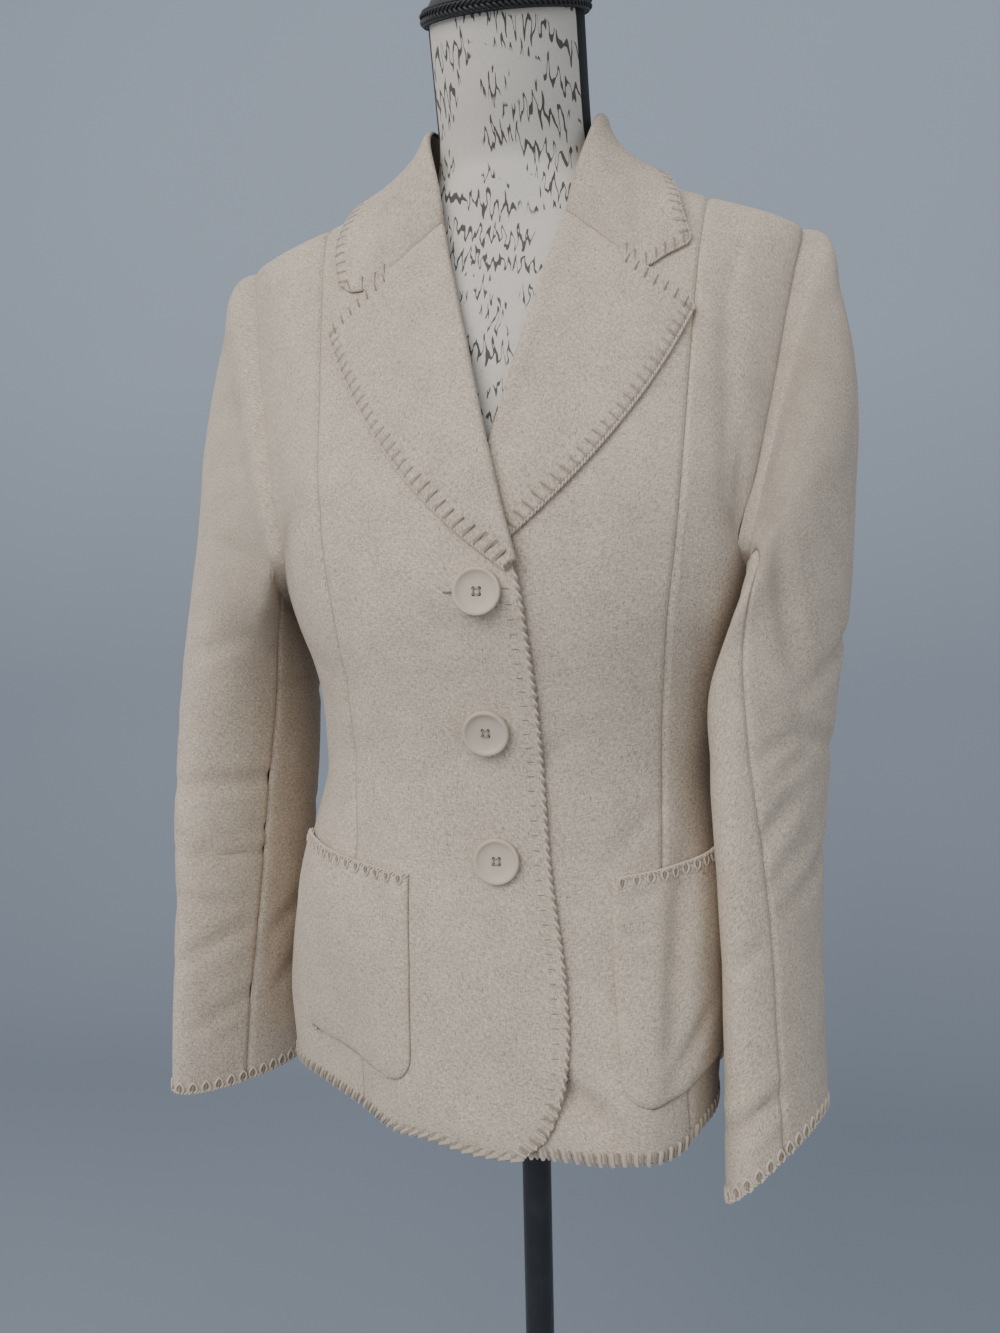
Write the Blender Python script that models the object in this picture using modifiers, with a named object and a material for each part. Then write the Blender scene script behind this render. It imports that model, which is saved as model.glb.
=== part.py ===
"""Three-button blazer with notch lapels and patch pockets, worn by a dress form on a stand.

Metres, +Z up, the origin on the floor below the pole. The blazer faces -Y, and the wearer's left is +X.
The cloth follows one torso surface, read from BODY: a point on it is an angle around the body (0 at the
centre front, +90 degrees at the wearer's left) and a height. Panels are laid out in the front or back
view of that surface, and a lift moves a point off it along its normal. In side-neutral functions x is
positive towards the panel's own side, and `side` is +1 for the wearer's left and -1 for the right.
"""
import math
from collections import namedtuple

import bmesh
import bpy
from mathutils import Vector

# ---------------------------------------------------------------- driving dimensions
CLOTH = 0.0016            # wall of the body and sleeves
FACED_CLOTH = 0.0022      # wall of the lapels, collar and pockets, which are two layers
HALF_SEAM = 0.00024       # each panel stops this far short of its seam
LAY_GAP = 0.0012          # clearance under a piece that lies on a panel
REST_GAP = 0.0004         # clearance where one piece rests on another
HALF_SLEEVE_SEAM = 0.0006  # and each sleeve piece this far
SLEEVE_LIFT = 0.0013      # the sleeve head stands this far off the panels it is sewn to

HEM_Z = 0.857
UNDERARM_Z = 1.190
BREAK_Z = 1.212           # the roll line leaves the front edge here
GORGE_Z = 1.438           # the roll line meets the gorge seam here
SHOULDER_TIP_Z = 1.438
NECK_POINT_Z = 1.482
BACK_NECK_Z = 1.478
BREAK_X = -0.0165
GORGE_X = 0.0425

ROWS_BELOW_ARM = 9        # panel rows from the hem to the underarm
ARM_STEPS = 24            # steps around the armhole
ROWS_BESIDE_ARM = ARM_STEPS // 2
FRONT_COLUMNS = 6
SIDE_COLUMNS = 5
NECK_COLUMNS = 3
ROLL_ROWS = ROWS_BESIDE_ARM - 1 - NECK_COLUMNS

BUTTON_RADIUS = 0.0143
BUTTON_THICKNESS = 0.0044
BUTTON_SEGMENTS = 20
BUTTON_HOLE_RADIUS = 0.0012
BUTTON_HOLE_PITCH = 0.0040
# Each button's place in the front view and how far its flat back stands off the curved cloth there.
BUTTONS = (
    {"name": "button_top", "x": -0.004, "z": 1.197, "gap": -0.0001},
    {"name": "button_middle", "x": -0.004, "z": 1.113, "gap": 0.0010},
    {"name": "button_bottom", "x": 0.000, "z": 1.032, "gap": 0.0012},
)

CAP_RADIUS = 0.0545
CAP_HEIGHT = 0.026
TRIM_RADIUS = 0.0028
POLE_RADIUS = 0.011
BASE_RADIUS = 0.155
BASE_HUB_HEIGHT = 0.030
TORSO_FLOOR_Z = 0.885


class Sections:
    """Rows of named sizes, read smoothly between the rows by their first column."""

    def __init__(self, columns, *rows):
        self.row_type = namedtuple("Row", columns)
        self.rows = [self.row_type(*row) for row in rows]
        self.keys = [row[0] for row in rows]
        self.slopes = [self._slopes([row[i] for row in rows]) for i in range(len(rows[0]))]

    def _slopes(self, values):
        steps = [(b - a) / (k1 - k0) for a, b, k0, k1 in
                 zip(values, values[1:], self.keys, self.keys[1:])]
        inner = [0.0 if a * b <= 0 else 2 * a * b / (a + b) for a, b in zip(steps, steps[1:])]
        return [steps[0], *inner, steps[-1]]

    def at(self, key):
        key = min(max(key, self.keys[0]), self.keys[-1])
        index = max(i for i, start in enumerate(self.keys[:-1]) if start <= key)
        span = self.keys[index + 1] - self.keys[index]
        t = (key - self.keys[index]) / span
        start, end = self.rows[index], self.rows[index + 1]
        values = []
        for a, b, slope in zip(start, end, self.slopes):
            tangents = (t ** 3 - 2 * t ** 2 + t) * slope[index] + (t ** 3 - t ** 2) * slope[index + 1]
            values.append(a + (3 * t ** 2 - 2 * t ** 3) * (b - a) + span * tangents)
        return self.row_type(*values)


# The outer face of the buttoned blazer, as rings: half width, depth in front of and behind the
# pole, and the power of the ring's curve (2 is an ellipse, more is squarer).
BODY = Sections(
    "z half_width front back fullness",
    (0.820, 0.178, 0.153, 0.130, 2.05),
    (0.857, 0.180, 0.152, 0.130, 2.05),
    (0.900, 0.182, 0.147, 0.126, 2.10),
    (0.950, 0.177, 0.142, 0.118, 2.20),
    (1.000, 0.167, 0.136, 0.108, 2.30),
    (1.040, 0.154, 0.132, 0.098, 2.30),
    (1.080, 0.144, 0.132, 0.094, 2.30),
    (1.120, 0.145, 0.138, 0.094, 2.30),
    (1.190, 0.164, 0.151, 0.101, 2.30),
    (1.250, 0.181, 0.145, 0.107, 2.30),
    (1.320, 0.192, 0.118, 0.106, 2.30),
    (1.380, 0.198, 0.092, 0.096, 2.20),
    (1.420, 0.199, 0.070, 0.080, 2.10),
    (1.434, 0.196, 0.060, 0.073, 2.00),
    (1.440, 0.188, 0.057, 0.070, 2.00),
    (1.460, 0.134, 0.050, 0.066, 2.00),
    (1.480, 0.077, 0.048, 0.064, 2.00),
    (1.500, 0.064, 0.048, 0.063, 2.00),
)
# Soft lobes and hollows of the skirt, by the angle around the body: each stands out by its depth and fades
# upwards to its top.
LOBES = (
    {"angle": -44.0, "depth": -0.018, "top": 1.010, "spread": 20.0},
    {"angle": 27.0, "depth": 0.021, "top": 1.010, "spread": 13.0},
    {"angle": 80.0, "depth": -0.044, "top": 1.150, "spread": 27.0},
)
# The front edge below the break, with its rounded corner at the hem.
FRONT_EDGE = Sections(
    "z x",
    (0.8535, -0.013),
    (0.8650, -0.027),
    (0.8810, -0.035),
    (0.9020, -0.040),
    (0.9260, -0.042),
    (0.9620, -0.040),
    (1.0330, -0.031),
    (1.1300, -0.026),
    (1.1900, -0.0205),
)
# The shoulder princess seam in the front view.
PRINCESS = Sections(
    "z x",
    (0.857, 0.112),
    (1.025, 0.101),
    (1.104, 0.101),
    (1.166, 0.104),
    (1.230, 0.111),
    (1.277, 0.115),
    (1.330, 0.119),
    (1.400, 0.125),
    (1.440, 0.130),
    (1.4603, 0.1332),
)
PRINCESS_TOP_Z = PRINCESS.keys[-1]
# The armhole seam in the side view, by the turn from its top over the front.
ARMHOLE = Sections(
    "turn y z",
    (0.0, 0.0000, 1.4380),
    (30.0, -0.0170, 1.4215),
    (60.0, -0.0405, 1.3760),
    (90.0, -0.0635, 1.3140),
    (120.0, -0.0850, 1.2520),
    (135.0, -0.0880, 1.2265),
    (150.0, -0.0690, 1.2065),
    (180.0, 0.0000, 1.1900),
    (210.0, 0.0560, 1.2065),
    (240.0, 0.0780, 1.2520),
    (270.0, 0.0705, 1.3140),
    (300.0, 0.0510, 1.3760),
    (330.0, 0.0210, 1.4215),
    (360.0, 0.0000, 1.4380),
)
ARMHOLE_CENTRE = (-0.004, 1.305)
LAPEL_BELLY = 0.014       # bulge of the lapel's outer edge off the line from break to corner
# Each side's own lapel and collar corners in the front view, its pocket and its sleeve's twist.
Side = namedtuple("Side", """name sign lapel_x lapel_z collar_x collar_z
                          pocket_x front_seam back_twist shoulder_bulge""")
RIGHT = Side("right", -1, 0.1145, 1.3690, 0.1085, 1.3945, 0.057, (158.0, 160.0), 22.0, 0.008)
LEFT = Side("left", 1, 0.1220, 1.3710, 0.1205, 1.4150, 0.069, (126.0, 48.0), -25.0, 0.0125)
SIDES = (RIGHT, LEFT)
BACK_SEAM = 235.0
# The collar from the gorge seam (0) to the centre back (1): its fold, its outer edge and how far the
# fall swells between them. At the gorge it follows the lapel instead.
COLLAR = Sections(
    "share fold_x fold_y fold_z edge_x edge_y edge_z swell",
    (0.00, 0.0425, -0.0590, 1.4390, 0.117, -0.0680, 1.4120, 0.001),
    (0.16, 0.0485, -0.0510, 1.4670, 0.114, -0.0490, 1.4440, -0.001),
    (0.36, 0.0595, -0.0240, 1.5100, 0.102, -0.0160, 1.4740, -0.004),
    (0.56, 0.0615, 0.0120, 1.5270, 0.094, 0.0260, 1.4760, -0.0045),
    (0.76, 0.0470, 0.0440, 1.5280, 0.074, 0.0600, 1.4620, -0.001),
    (0.90, 0.0230, 0.0585, 1.5280, 0.039, 0.0690, 1.4660, 0.004),
    (1.00, 0.0000, 0.0615, 1.5280, 0.000, 0.0720, 1.4680, 0.004),
)
COLLAR_HALF_COLUMNS = 9
COLLAR_TURN_DROP = 0.0024
STAND_FIRST_COLUMN = 1    # the stand starts one column behind the gorge seam
# How a fold turns over its panel's rim: distance back past the fold, and height below the underside
# (as a share of the drop) or above it (as a share of the wall).
FOLD_TURN = (
    {"outer_back": 0.0029, "outer_drop": 1.00, "outer_rise": 0.00, "inner_back": 0.0006, "inner_drop": 1.00},
    {"outer_back": 0.0033, "outer_drop": 0.45, "outer_rise": 0.10, "inner_back": 0.0008, "inner_drop": 0.45},
    {"outer_back": 0.0021, "outer_drop": 0.00, "outer_rise": 0.70, "inner_back": 0.0005, "inner_drop": 0.05},
)
FOLD_ROOT = 0.0012        # a lapel's fold reaches this far below the panel's face
LAPEL_SHARES = (0.0, 0.15, 0.30, 0.45, 0.60, 0.80, 1.0)
NOTCH_INDEX = 4           # the notch lies at LAPEL_SHARES[4] of the lapel's top edge
LAPEL_FOOT = (0.0040, -0.0030)   # the lapel's edge starts here, from the break

# Rings of the sleeves below the armhole: their outer and inner ends, the middle's depth, half the ring's
# depth, its turn about the sleeve's line and how far its foremost part sinks, both in degrees.
# Above the first ring a sleeve runs straight up to its head. The head is the armhole seam moved out, least
# below and most on top, spread to the front and back, and dropped. The hindmost part has a share of the sink.
SLEEVE_RINGS = 11
FIRST_RING = 5
HEAD_OUT = (0.0045, 0.012)
HEAD_SPREAD = 1.03
HEAD_DROP = 0.002
BACK_SLOUCH = 0.4
SLEEVE_COLUMNS = "ring outer_x outer_z inner_x inner_z y half_deep yaw slouch"
LEFT_SLEEVE = Sections(
    SLEEVE_COLUMNS,
    (5, 0.2190, 1.2600, 0.1565, 1.1480, -0.040, 0.074, 25, 12),
    (6, 0.2120, 1.1950, 0.1460, 1.1200, -0.047, 0.070, 30, 5),
    (7, 0.2030, 1.1200, 0.1430, 1.0800, -0.054, 0.066, 29, 0),
    (8, 0.1985, 1.0500, 0.1430, 1.0300, -0.058, 0.062, 26, 0),
    (9, 0.1970, 0.9850, 0.1440, 0.9700, -0.065, 0.059, 24, 0),
    (10, 0.1965, 0.9200, 0.1450, 0.8950, -0.074, 0.057, 24, 0),
    (11, 0.1980, 0.8560, 0.1450, 0.8100, -0.084, 0.055, 24, 0),
)
RIGHT_SLEEVE = Sections(
    SLEEVE_COLUMNS,
    (5, 0.2345, 1.2600, 0.1700, 1.1500, -0.010, 0.073, -4, 14),
    (6, 0.2400, 1.1950, 0.1720, 1.1250, -0.010, 0.070, -9, 7),
    (7, 0.2440, 1.1200, 0.1760, 1.0850, -0.012, 0.067, -15, 2),
    (8, 0.2455, 1.0500, 0.1810, 1.0350, -0.016, 0.064, -19, 0),
    (9, 0.2440, 0.9800, 0.1860, 0.9750, -0.022, 0.061, -22, 0),
    (10, 0.2430, 0.9100, 0.1935, 0.9050, -0.029, 0.058, -26, 0),
    (11, 0.2420, 0.8440, 0.1975, 0.8390, -0.036, 0.055, -30, 0),
)

POCKET_WIDTH = 0.118      # along the cloth
POCKET_CORNER = 0.018
POCKET_COLUMNS = 8
POCKET_ROWS = 8
POCKET_BOTTOM_Z = 0.888
POCKET_TOP_Z = 1.019
POCKET_TOP_RISE = 0.010   # from its inner to its outer corner

# The form's torso, as its distance inside the blazer's cloth, and its neck, as leaning ellipses.
TORSO_RINGS = (
    {"z": TORSO_FLOOR_Z, "ease": 0.0220}, {"z": 0.893, "ease": 0.0140}, {"z": 0.915, "ease": 0.0110},
    {"z": 0.960, "ease": 0.0100}, {"z": 1.010, "ease": 0.0080}, {"z": 1.060, "ease": 0.0060},
    {"z": 1.110, "ease": 0.0050}, {"z": 1.160, "ease": 0.0040}, {"z": 1.210, "ease": 0.0030},
    {"z": 1.265, "ease": 0.0018}, {"z": 1.320, "ease": 0.0022}, {"z": 1.370, "ease": 0.0026},
    {"z": 1.405, "ease": 0.0036}, {"z": 1.428, "ease": 0.0056}, {"z": 1.442, "ease": 0.0060},
    {"z": 1.455, "ease": 0.0060}, {"z": 1.466, "ease": 0.0066}, {"z": 1.475, "ease": 0.0085},
)
NECK_RINGS = (
    {"z": 1.489, "y": 0.004, "half_width": 0.0580, "half_depth": 0.0500, "lean": 4},
    {"z": 1.507, "y": -0.001, "half_width": 0.0545, "half_depth": 0.0510, "lean": 10},
    {"z": 1.533, "y": -0.013, "half_width": 0.0532, "half_depth": 0.0520, "lean": 16},
    {"z": 1.558, "y": -0.024, "half_width": 0.0528, "half_depth": 0.0525, "lean": 20},
    {"z": 1.578, "y": -0.033, "half_width": 0.0525, "half_depth": 0.0525, "lean": 22},
)
FORM_SEGMENTS = 28
NECK_TOP = NECK_RINGS[-1]

COLOURS = {
    "cloth": ((0.50, 0.44, 0.36), 0.9, 0.0),
    "button": ((0.55, 0.48, 0.39), 0.5, 0.0),
    "cover": ((0.80, 0.76, 0.68), 0.85, 0.0),
    "trim": ((0.015, 0.015, 0.017), 0.8, 0.0),
    "stand": ((0.02, 0.02, 0.022), 0.4, 0.2),
}


# ---------------------------------------------------------------- the torso surface
def smooth_step(low, high, value):
    t = min(max((value - low) / (high - low), 0.0), 1.0)
    return t * t * (3 - 2 * t)


def signed_power(value, power):
    return math.copysign(abs(value) ** power, value)


def body_face(angle, z):
    """Point on the blazer's outer face at an angle from the centre front and a height."""
    ring = BODY.at(z)
    x = ring.half_width * signed_power(math.sin(angle), 2 / ring.fullness)
    forward = signed_power(math.cos(angle), 2 / ring.fullness)
    y = -forward * (ring.front if forward > 0 else ring.back)
    stretch = 0.0
    for lobe in LOBES:
        away = (math.degrees(angle) - lobe["angle"]) / lobe["spread"]
        stretch += lobe["depth"] * math.exp(-away * away) * smooth_step(lobe["top"], HEM_Z, z)
    scale = 1 + stretch / math.hypot(x, y)
    return Vector((x * scale, y * scale, z))


def body_point(angle, z, lift=0.0):
    """Point lifted off the blazer's outer face along its normal."""
    step = 1e-4
    across = body_face(angle + step, z) - body_face(angle - step, z)
    upward = body_face(angle, z + step) - body_face(angle, z - step)
    return body_face(angle, z) + lift * across.cross(upward).normalized()


def view_angle(x, z, back=False):
    """Angle of the torso point seen at (x, z) from the front, or from the back."""
    ring = BODY.at(z)
    share = min(max(x / ring.half_width, -1.0), 1.0)
    angle = math.asin(signed_power(share, ring.fullness / 2))
    return math.pi - angle if back else angle


def side_view_angle(y, z):
    """Angle of the torso point seen at (y, z) from the side."""
    ring = BODY.at(z)
    depth = ring.front if y < 0 else ring.back
    return math.acos(signed_power(min(max(-y / depth, -1.0), 1.0), ring.fullness / 2))


def view_x(angle, z):
    """Distance from the middle at which an angle's torso point is seen."""
    ring = BODY.at(z)
    return ring.half_width * math.sin(angle) ** (2 / ring.fullness)


def side_point(side, x, z, lift=0.0, back=False):
    """Point of one side's panel at (x, z) of the front or back view."""
    angle = view_angle(x, z, back)
    return body_point(side.sign * angle, z, lift)


def front_lift(side, x, z):
    """How far a front panel's face stands off the torso surface: the right laps over the left."""
    if side.sign > 0:
        return 0.0
    over_front = (CLOTH + LAY_GAP) * smooth_step(0.105, 0.050, x) * smooth_step(1.390, 1.310, z)
    beside_break = smooth_step(1.170, 1.203, z) * smooth_step(1.375, 1.315, z)
    over_lapel = (FACED_CLOTH + LAY_GAP) * smooth_step(0.065, 0.026, x) * beside_break
    return over_front + over_lapel


# ---------------------------------------------------------------- meshes
def new_object(name, mesh_editor, collection, material, smooth_angle=40.0):
    mesh = bpy.data.meshes.new(name)
    mesh_editor.normal_update()
    mesh_editor.to_mesh(mesh)
    mesh_editor.free()
    mesh.materials.append(material)
    mesh.shade_smooth()
    mesh.set_sharp_from_angle(angle=math.radians(smooth_angle))
    thing = bpy.data.objects.new(name, mesh)
    collection.objects.link(thing)
    return thing


def cloth_shell(name, columns, rows, skins, collection, material):
    """Closed wall on a grid. skins(column, row) gives the outer and the inner point."""
    editor = bmesh.new()
    bmesh.ops.create_grid(editor, x_segments=columns, y_segments=rows, size=1.0)
    places = {vert: (round((vert.co.x + 1) / 2 * columns), round((vert.co.y + 1) / 2 * rows))
              for vert in editor.verts}
    rim = [[loop.vert for loop in (face_loop, face_loop.link_loop_next)]
           for face in editor.faces for face_loop in face.loops if face_loop.edge.is_boundary]
    copied = bmesh.ops.duplicate(editor, geom=editor.verts[:] + editor.edges[:] + editor.faces[:])
    twin = copied["vert_map"]
    inner_faces = [item for item in copied["geom"] if isinstance(item, bmesh.types.BMFace)]
    bmesh.ops.reverse_faces(editor, faces=inner_faces)
    for first, second in rim:
        editor.faces.new((second, first, twin[first], twin[second]))
    for vert, place in places.items():
        vert.co, twin[vert].co = skins(*place)
    if editor.calc_volume(signed=True) < 0:
        bmesh.ops.reverse_faces(editor, faces=editor.faces)
    bmesh.ops.triangulate(editor, faces=editor.faces)
    return new_object(name, editor, collection, material)


def inset_rim(grid, columns, rows, half_seam=HALF_SEAM):
    """Move a grid's rim points towards their inner neighbours, so that panels clear their seams."""
    moved = dict(grid)
    for (column, row), (outer, inner) in grid.items():
        shift = Vector()
        for limit, at, beside in ((columns, column, lambda d: (column + d, row)),
                                  (rows, row, lambda d: (column, row + d))):
            if at in (0, limit):
                neighbour = grid[beside(1 if at == 0 else -1)][0]
                shift += half_seam * (neighbour - outer).normalized()
        moved[column, row] = (outer + shift, inner + shift)
    return moved


def blend(left, right, bottom, top):
    """Coons patch through four lists of view points: rows up the sides, columns along the ends."""
    columns, rows = len(bottom) - 1, len(left) - 1
    patch = {}
    for column in range(columns + 1):
        for row in range(rows + 1):
            u, v = column / columns, row / rows
            patch[column, row] = tuple(
                (1 - u) * left[row][i] + u * right[row][i] + (1 - v) * bottom[column][i] + v * top[column][i]
                - (1 - u) * (1 - v) * bottom[0][i] - u * (1 - v) * bottom[-1][i]
                - (1 - u) * v * top[0][i] - u * v * top[-1][i] for i in (0, 1))
    return patch


def spaced(start, end, steps):
    """Evenly spaced pairs from start to end, both included."""
    return [tuple(a + (b - a) * i / steps for a, b in zip(start, end)) for i in range(steps + 1)]


# ---------------------------------------------------------------- seams, in the front or back view
def armhole_turn(step):
    """Side-view point of the armhole at a step from its top over the front."""
    row = ARMHOLE.at(360.0 * step / ARM_STEPS)
    return row.y, row.z


def armhole_view(step):
    y, z = armhole_turn(step)
    return view_x(side_view_angle(y, z), z), z


def seam_heights(bottom_z, top_z):
    """Heights of panel rows: even up to the underarm, then closer towards the top."""
    lower = [z for z, in spaced((bottom_z,), (UNDERARM_Z,), ROWS_BELOW_ARM)]
    beside = []
    for row in range(1, ROWS_BESIDE_ARM + 1):
        beside.append(UNDERARM_Z + (top_z - UNDERARM_Z) * math.sin(math.pi / 2 * row / ROWS_BESIDE_ARM))
    return lower + beside


def princess_seam():
    return [(PRINCESS.at(z).x, z) for z in seam_heights(HEM_Z, PRINCESS_TOP_Z)]


def roll_line():
    return spaced((BREAK_X, BREAK_Z), (GORGE_X, GORGE_Z), ROLL_ROWS)


def neckline_front():
    """Front neckline from the gorge seam to the shoulder."""
    return spaced((GORGE_X, GORGE_Z), (BODY.at(NECK_POINT_Z).half_width, NECK_POINT_Z), NECK_COLUMNS)


def neckline_back():
    """Back neckline from the shoulder to the centre back."""
    line = []
    for turn, in spaced((0.0,), (math.pi / 2,), NECK_COLUMNS):
        drop = (NECK_POINT_Z - BACK_NECK_Z) * math.sin(turn)
        line.append((BODY.at(NECK_POINT_Z).half_width * math.cos(turn), NECK_POINT_Z - drop))
    return line


def opening_edge():
    """Front edge, roll line and front neckline, from the hem to the neck point."""
    start_z = FRONT_EDGE.keys[0]
    lower = [(FRONT_EDGE.at(z).x, z) for z, in spaced((start_z,), (UNDERARM_Z,), ROWS_BELOW_ARM)]
    return lower + roll_line() + neckline_front()[1:]


def side_seam():
    return [(BODY.at(z).half_width, z) for z, in spaced((HEM_Z,), (UNDERARM_Z,), ROWS_BELOW_ARM)]


def ridge(start_z, end_z, columns):
    """Shoulder line between two heights on the torso's ridge."""
    return [(BODY.at(z).half_width, z) for z, in spaced((start_z,), (end_z,), columns)]


# ---------------------------------------------------------------- panels
def build_panel(name, side, patch, columns, rows, back, collection, material):
    def lift_at(x, z):
        return 0.0 if back else front_lift(side, x, z)

    grid = {}
    for place, (x, z) in patch.items():
        lift = lift_at(x, z)
        grid[place] = (side_point(side, x, z, lift, back), side_point(side, x, z, lift - CLOTH, back))
    grid = inset_rim(grid, columns, rows)
    return cloth_shell(name, columns, rows, lambda *place: grid[place], collection, material)


def build_front(side, collection, material):
    princess, opening = princess_seam(), opening_edge()
    bottom = spaced(opening[0], princess[0], FRONT_COLUMNS)
    top = ridge(NECK_POINT_Z, PRINCESS_TOP_Z, FRONT_COLUMNS)
    patch = blend(opening, princess, bottom, top)
    build_panel(f"front_{side.name}", side, patch, FRONT_COLUMNS, len(princess) - 1, False,
                collection, material)


def build_side_front(side, collection, material):
    """The side front is laid out by angle, so that its columns stay even around the waist."""
    side_angle = math.pi / 2
    princess = [(view_angle(x, z), z) for x, z in princess_seam()]
    outer = [(side_angle, z) for x, z in side_seam()]
    for row in range(1, ROWS_BESIDE_ARM + 1):
        y, z = armhole_turn(ARM_STEPS / 2 - row)
        outer.append((side_view_angle(y, z), z))
    bottom = spaced(princess[0], (side_angle, HEM_Z), SIDE_COLUMNS)
    top = [(side_angle, z) for x, z in ridge(PRINCESS_TOP_Z, SHOULDER_TIP_Z, SIDE_COLUMNS)]
    patch = {place: (view_x(angle, z), z) for place, (angle, z) in
             blend(princess, outer, bottom, top).items()}
    build_panel(f"side_front_{side.name}", side, patch, SIDE_COLUMNS, len(princess) - 1, False,
                collection, material)


def build_back(side, collection, material):
    columns = SIDE_COLUMNS + FRONT_COLUMNS + NECK_COLUMNS
    outer = side_seam() + [armhole_view(ARM_STEPS / 2 + row) for row in range(1, ROWS_BESIDE_ARM + 1)]
    centre = [(0.0, z) for z in seam_heights(HEM_Z, BACK_NECK_Z)]
    bottom = [(view_x(angle, HEM_Z), HEM_Z) for angle, in spaced((math.pi / 2,), (0.0,), columns)]
    shoulder = ridge(SHOULDER_TIP_Z, PRINCESS_TOP_Z, SIDE_COLUMNS)
    shoulder += ridge(PRINCESS_TOP_Z, NECK_POINT_Z, FRONT_COLUMNS)[1:]
    patch = blend(outer, centre, bottom, shoulder + neckline_back()[1:])
    build_panel(f"back_{side.name}", side, patch, columns, len(outer) - 1, True, collection, material)


# ---------------------------------------------------------------- lapels, collar and its stand
def fold_turn(underside, along, out, drop):
    """Outer and inner points of the turn at a fold, whose underside starts here and runs along."""
    pairs = []
    for turn in FOLD_TURN:
        outer_height = FACED_CLOTH * turn["outer_rise"] - drop * turn["outer_drop"]
        outer = underside - along * turn["outer_back"] + out * outer_height
        inner = underside - along * turn["inner_back"] - out * drop * turn["inner_drop"]
        pairs.append((outer, inner))
    return pairs


def lapel_swell(side, fold_z):
    """Soft roll at the fold. The left lapel is pressed flat where the right front laps over it."""
    if side.sign < 0:
        return 0.0020
    return 0.0026 * smooth_step(1.290, 1.340, fold_z)


def lapel_underside(side, x, z, share, fold_z):
    """Lift of a lapel's underside at a share of the way from its fold to its edge."""
    rolled = lapel_swell(side, fold_z) * max(1 - share / 0.5, 0.0) ** 2
    return front_lift(side, x, z) + LAY_GAP + rolled


def lapel_row(side, fold, edge, shares):
    """Outer and inner points of one row, from inside the fold out to the edge."""
    pairs = []
    for share in shares:
        x, z = (a + (b - a) * share for a, b in zip(fold, edge))
        low = lapel_underside(side, x, z, share, fold[1])
        pairs.append((side_point(side, x, z, low + FACED_CLOTH), side_point(side, x, z, low)))
    out = (pairs[0][0] - pairs[0][1]).normalized()
    face = side_point(side, *fold, front_lift(side, *fold))
    ahead = side_point(side, fold[0] + 0.1 * (edge[0] - fold[0]), fold[1] + 0.1 * (edge[1] - fold[1]),
                       front_lift(side, *fold))
    along = (ahead - face).normalized()
    drop = LAY_GAP + lapel_swell(side, fold[1]) + FOLD_ROOT
    return fold_turn(pairs[0][1], along, out, drop) + pairs


def lapel_edge(side, share):
    """View point on a lapel's outer edge, from its foot (0) to its corner (1)."""
    start = Vector((BREAK_X + LAPEL_FOOT[0], BREAK_Z + LAPEL_FOOT[1]))
    chord = Vector((side.lapel_x, side.lapel_z)) - start
    belly = Vector((chord.y, -chord.x)).normalized() * LAPEL_BELLY * 4 * share * (1 - share)
    return tuple(start + chord * share + belly)


def build_lapel(side, collection, material):
    rows = [lapel_row(side, fold, lapel_edge(side, index / ROLL_ROWS), LAPEL_SHARES)
            for index, fold in enumerate(roll_line())]
    columns = len(rows[0]) - 1
    grid = {(column, row): pair for row, pairs in enumerate(rows) for column, pair in enumerate(pairs)}
    grid = inset_rim(grid, columns, ROLL_ROWS)
    cloth_shell(f"lapel_{side.name}", columns, ROLL_ROWS, lambda *place: grid[place], collection, material)


def gorge_row(side):
    """The collar's end: along the gorge seam to the notch, then out to the collar's corner."""
    corner = lapel_edge(side, 1.0)
    row = lapel_row(side, (GORGE_X, GORGE_Z), corner, LAPEL_SHARES[:NOTCH_INDEX + 1])
    share = LAPEL_SHARES[NOTCH_INDEX]
    notch = [a + (b - a) * share for a, b in zip((GORGE_X, GORGE_Z), corner)]
    for step in (0.5, 1.0):
        x = notch[0] + (side.collar_x - notch[0]) * step
        z = notch[1] + (side.collar_z - notch[1]) * step
        row.append((side_point(side, x, z, LAY_GAP + FACED_CLOTH), side_point(side, x, z, LAY_GAP)))
    return row


def collar_frame(side, share):
    """Fold, edge, direction of the fall and its outward normal, at a share of the way to the back."""
    def place(kind, at):
        row = COLLAR.at(at)
        x, y, z = (getattr(row, f"{kind}_{axis}") for axis in "xyz")
        return Vector((side.sign * x, y, z))

    fold, edge = place("fold", share), place("edge", share)
    step = 0.02
    running = place("fold", min(share + step, 1.0)) - place("fold", share - step)
    if share == 1.0:
        running = Vector((-side.sign, 0.0, 0.0))
    along = (edge - fold).normalized()
    out = along.cross(running).normalized()
    if out.z < 0:
        out.negate()
    return fold, edge, along, out


def collar_row(side, share):
    fold, edge, along, out = collar_frame(side, share)
    swell = COLLAR.at(share).swell
    pairs = []
    for step in LAPEL_SHARES:
        underside = fold + (edge - fold) * step + out * swell * 4 * step * (1 - step)
        pairs.append((underside + out * FACED_CLOTH, underside))
    return fold_turn(fold, along, out, COLLAR_TURN_DROP) + pairs


def collar_places():
    """Each collar column's side and share, from the right gorge seam around to the left one."""
    right = [(RIGHT, index / COLLAR_HALF_COLUMNS) for index in range(COLLAR_HALF_COLUMNS)]
    left = [(LEFT, index / COLLAR_HALF_COLUMNS) for index in range(COLLAR_HALF_COLUMNS, -1, -1)]
    return right + left


def build_collar(collection, material):
    places = collar_places()
    lines = [gorge_row(side) if share == 0 else collar_row(side, share) for side, share in places]
    columns, rows = len(lines) - 1, len(lines[0]) - 1
    grid = {(column, row): pair for column, pairs in enumerate(lines) for row, pair in enumerate(pairs)}
    grid = inset_rim(grid, columns, rows)
    cloth_shell("collar", columns, rows, lambda *place: grid[place], collection, material)


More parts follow.
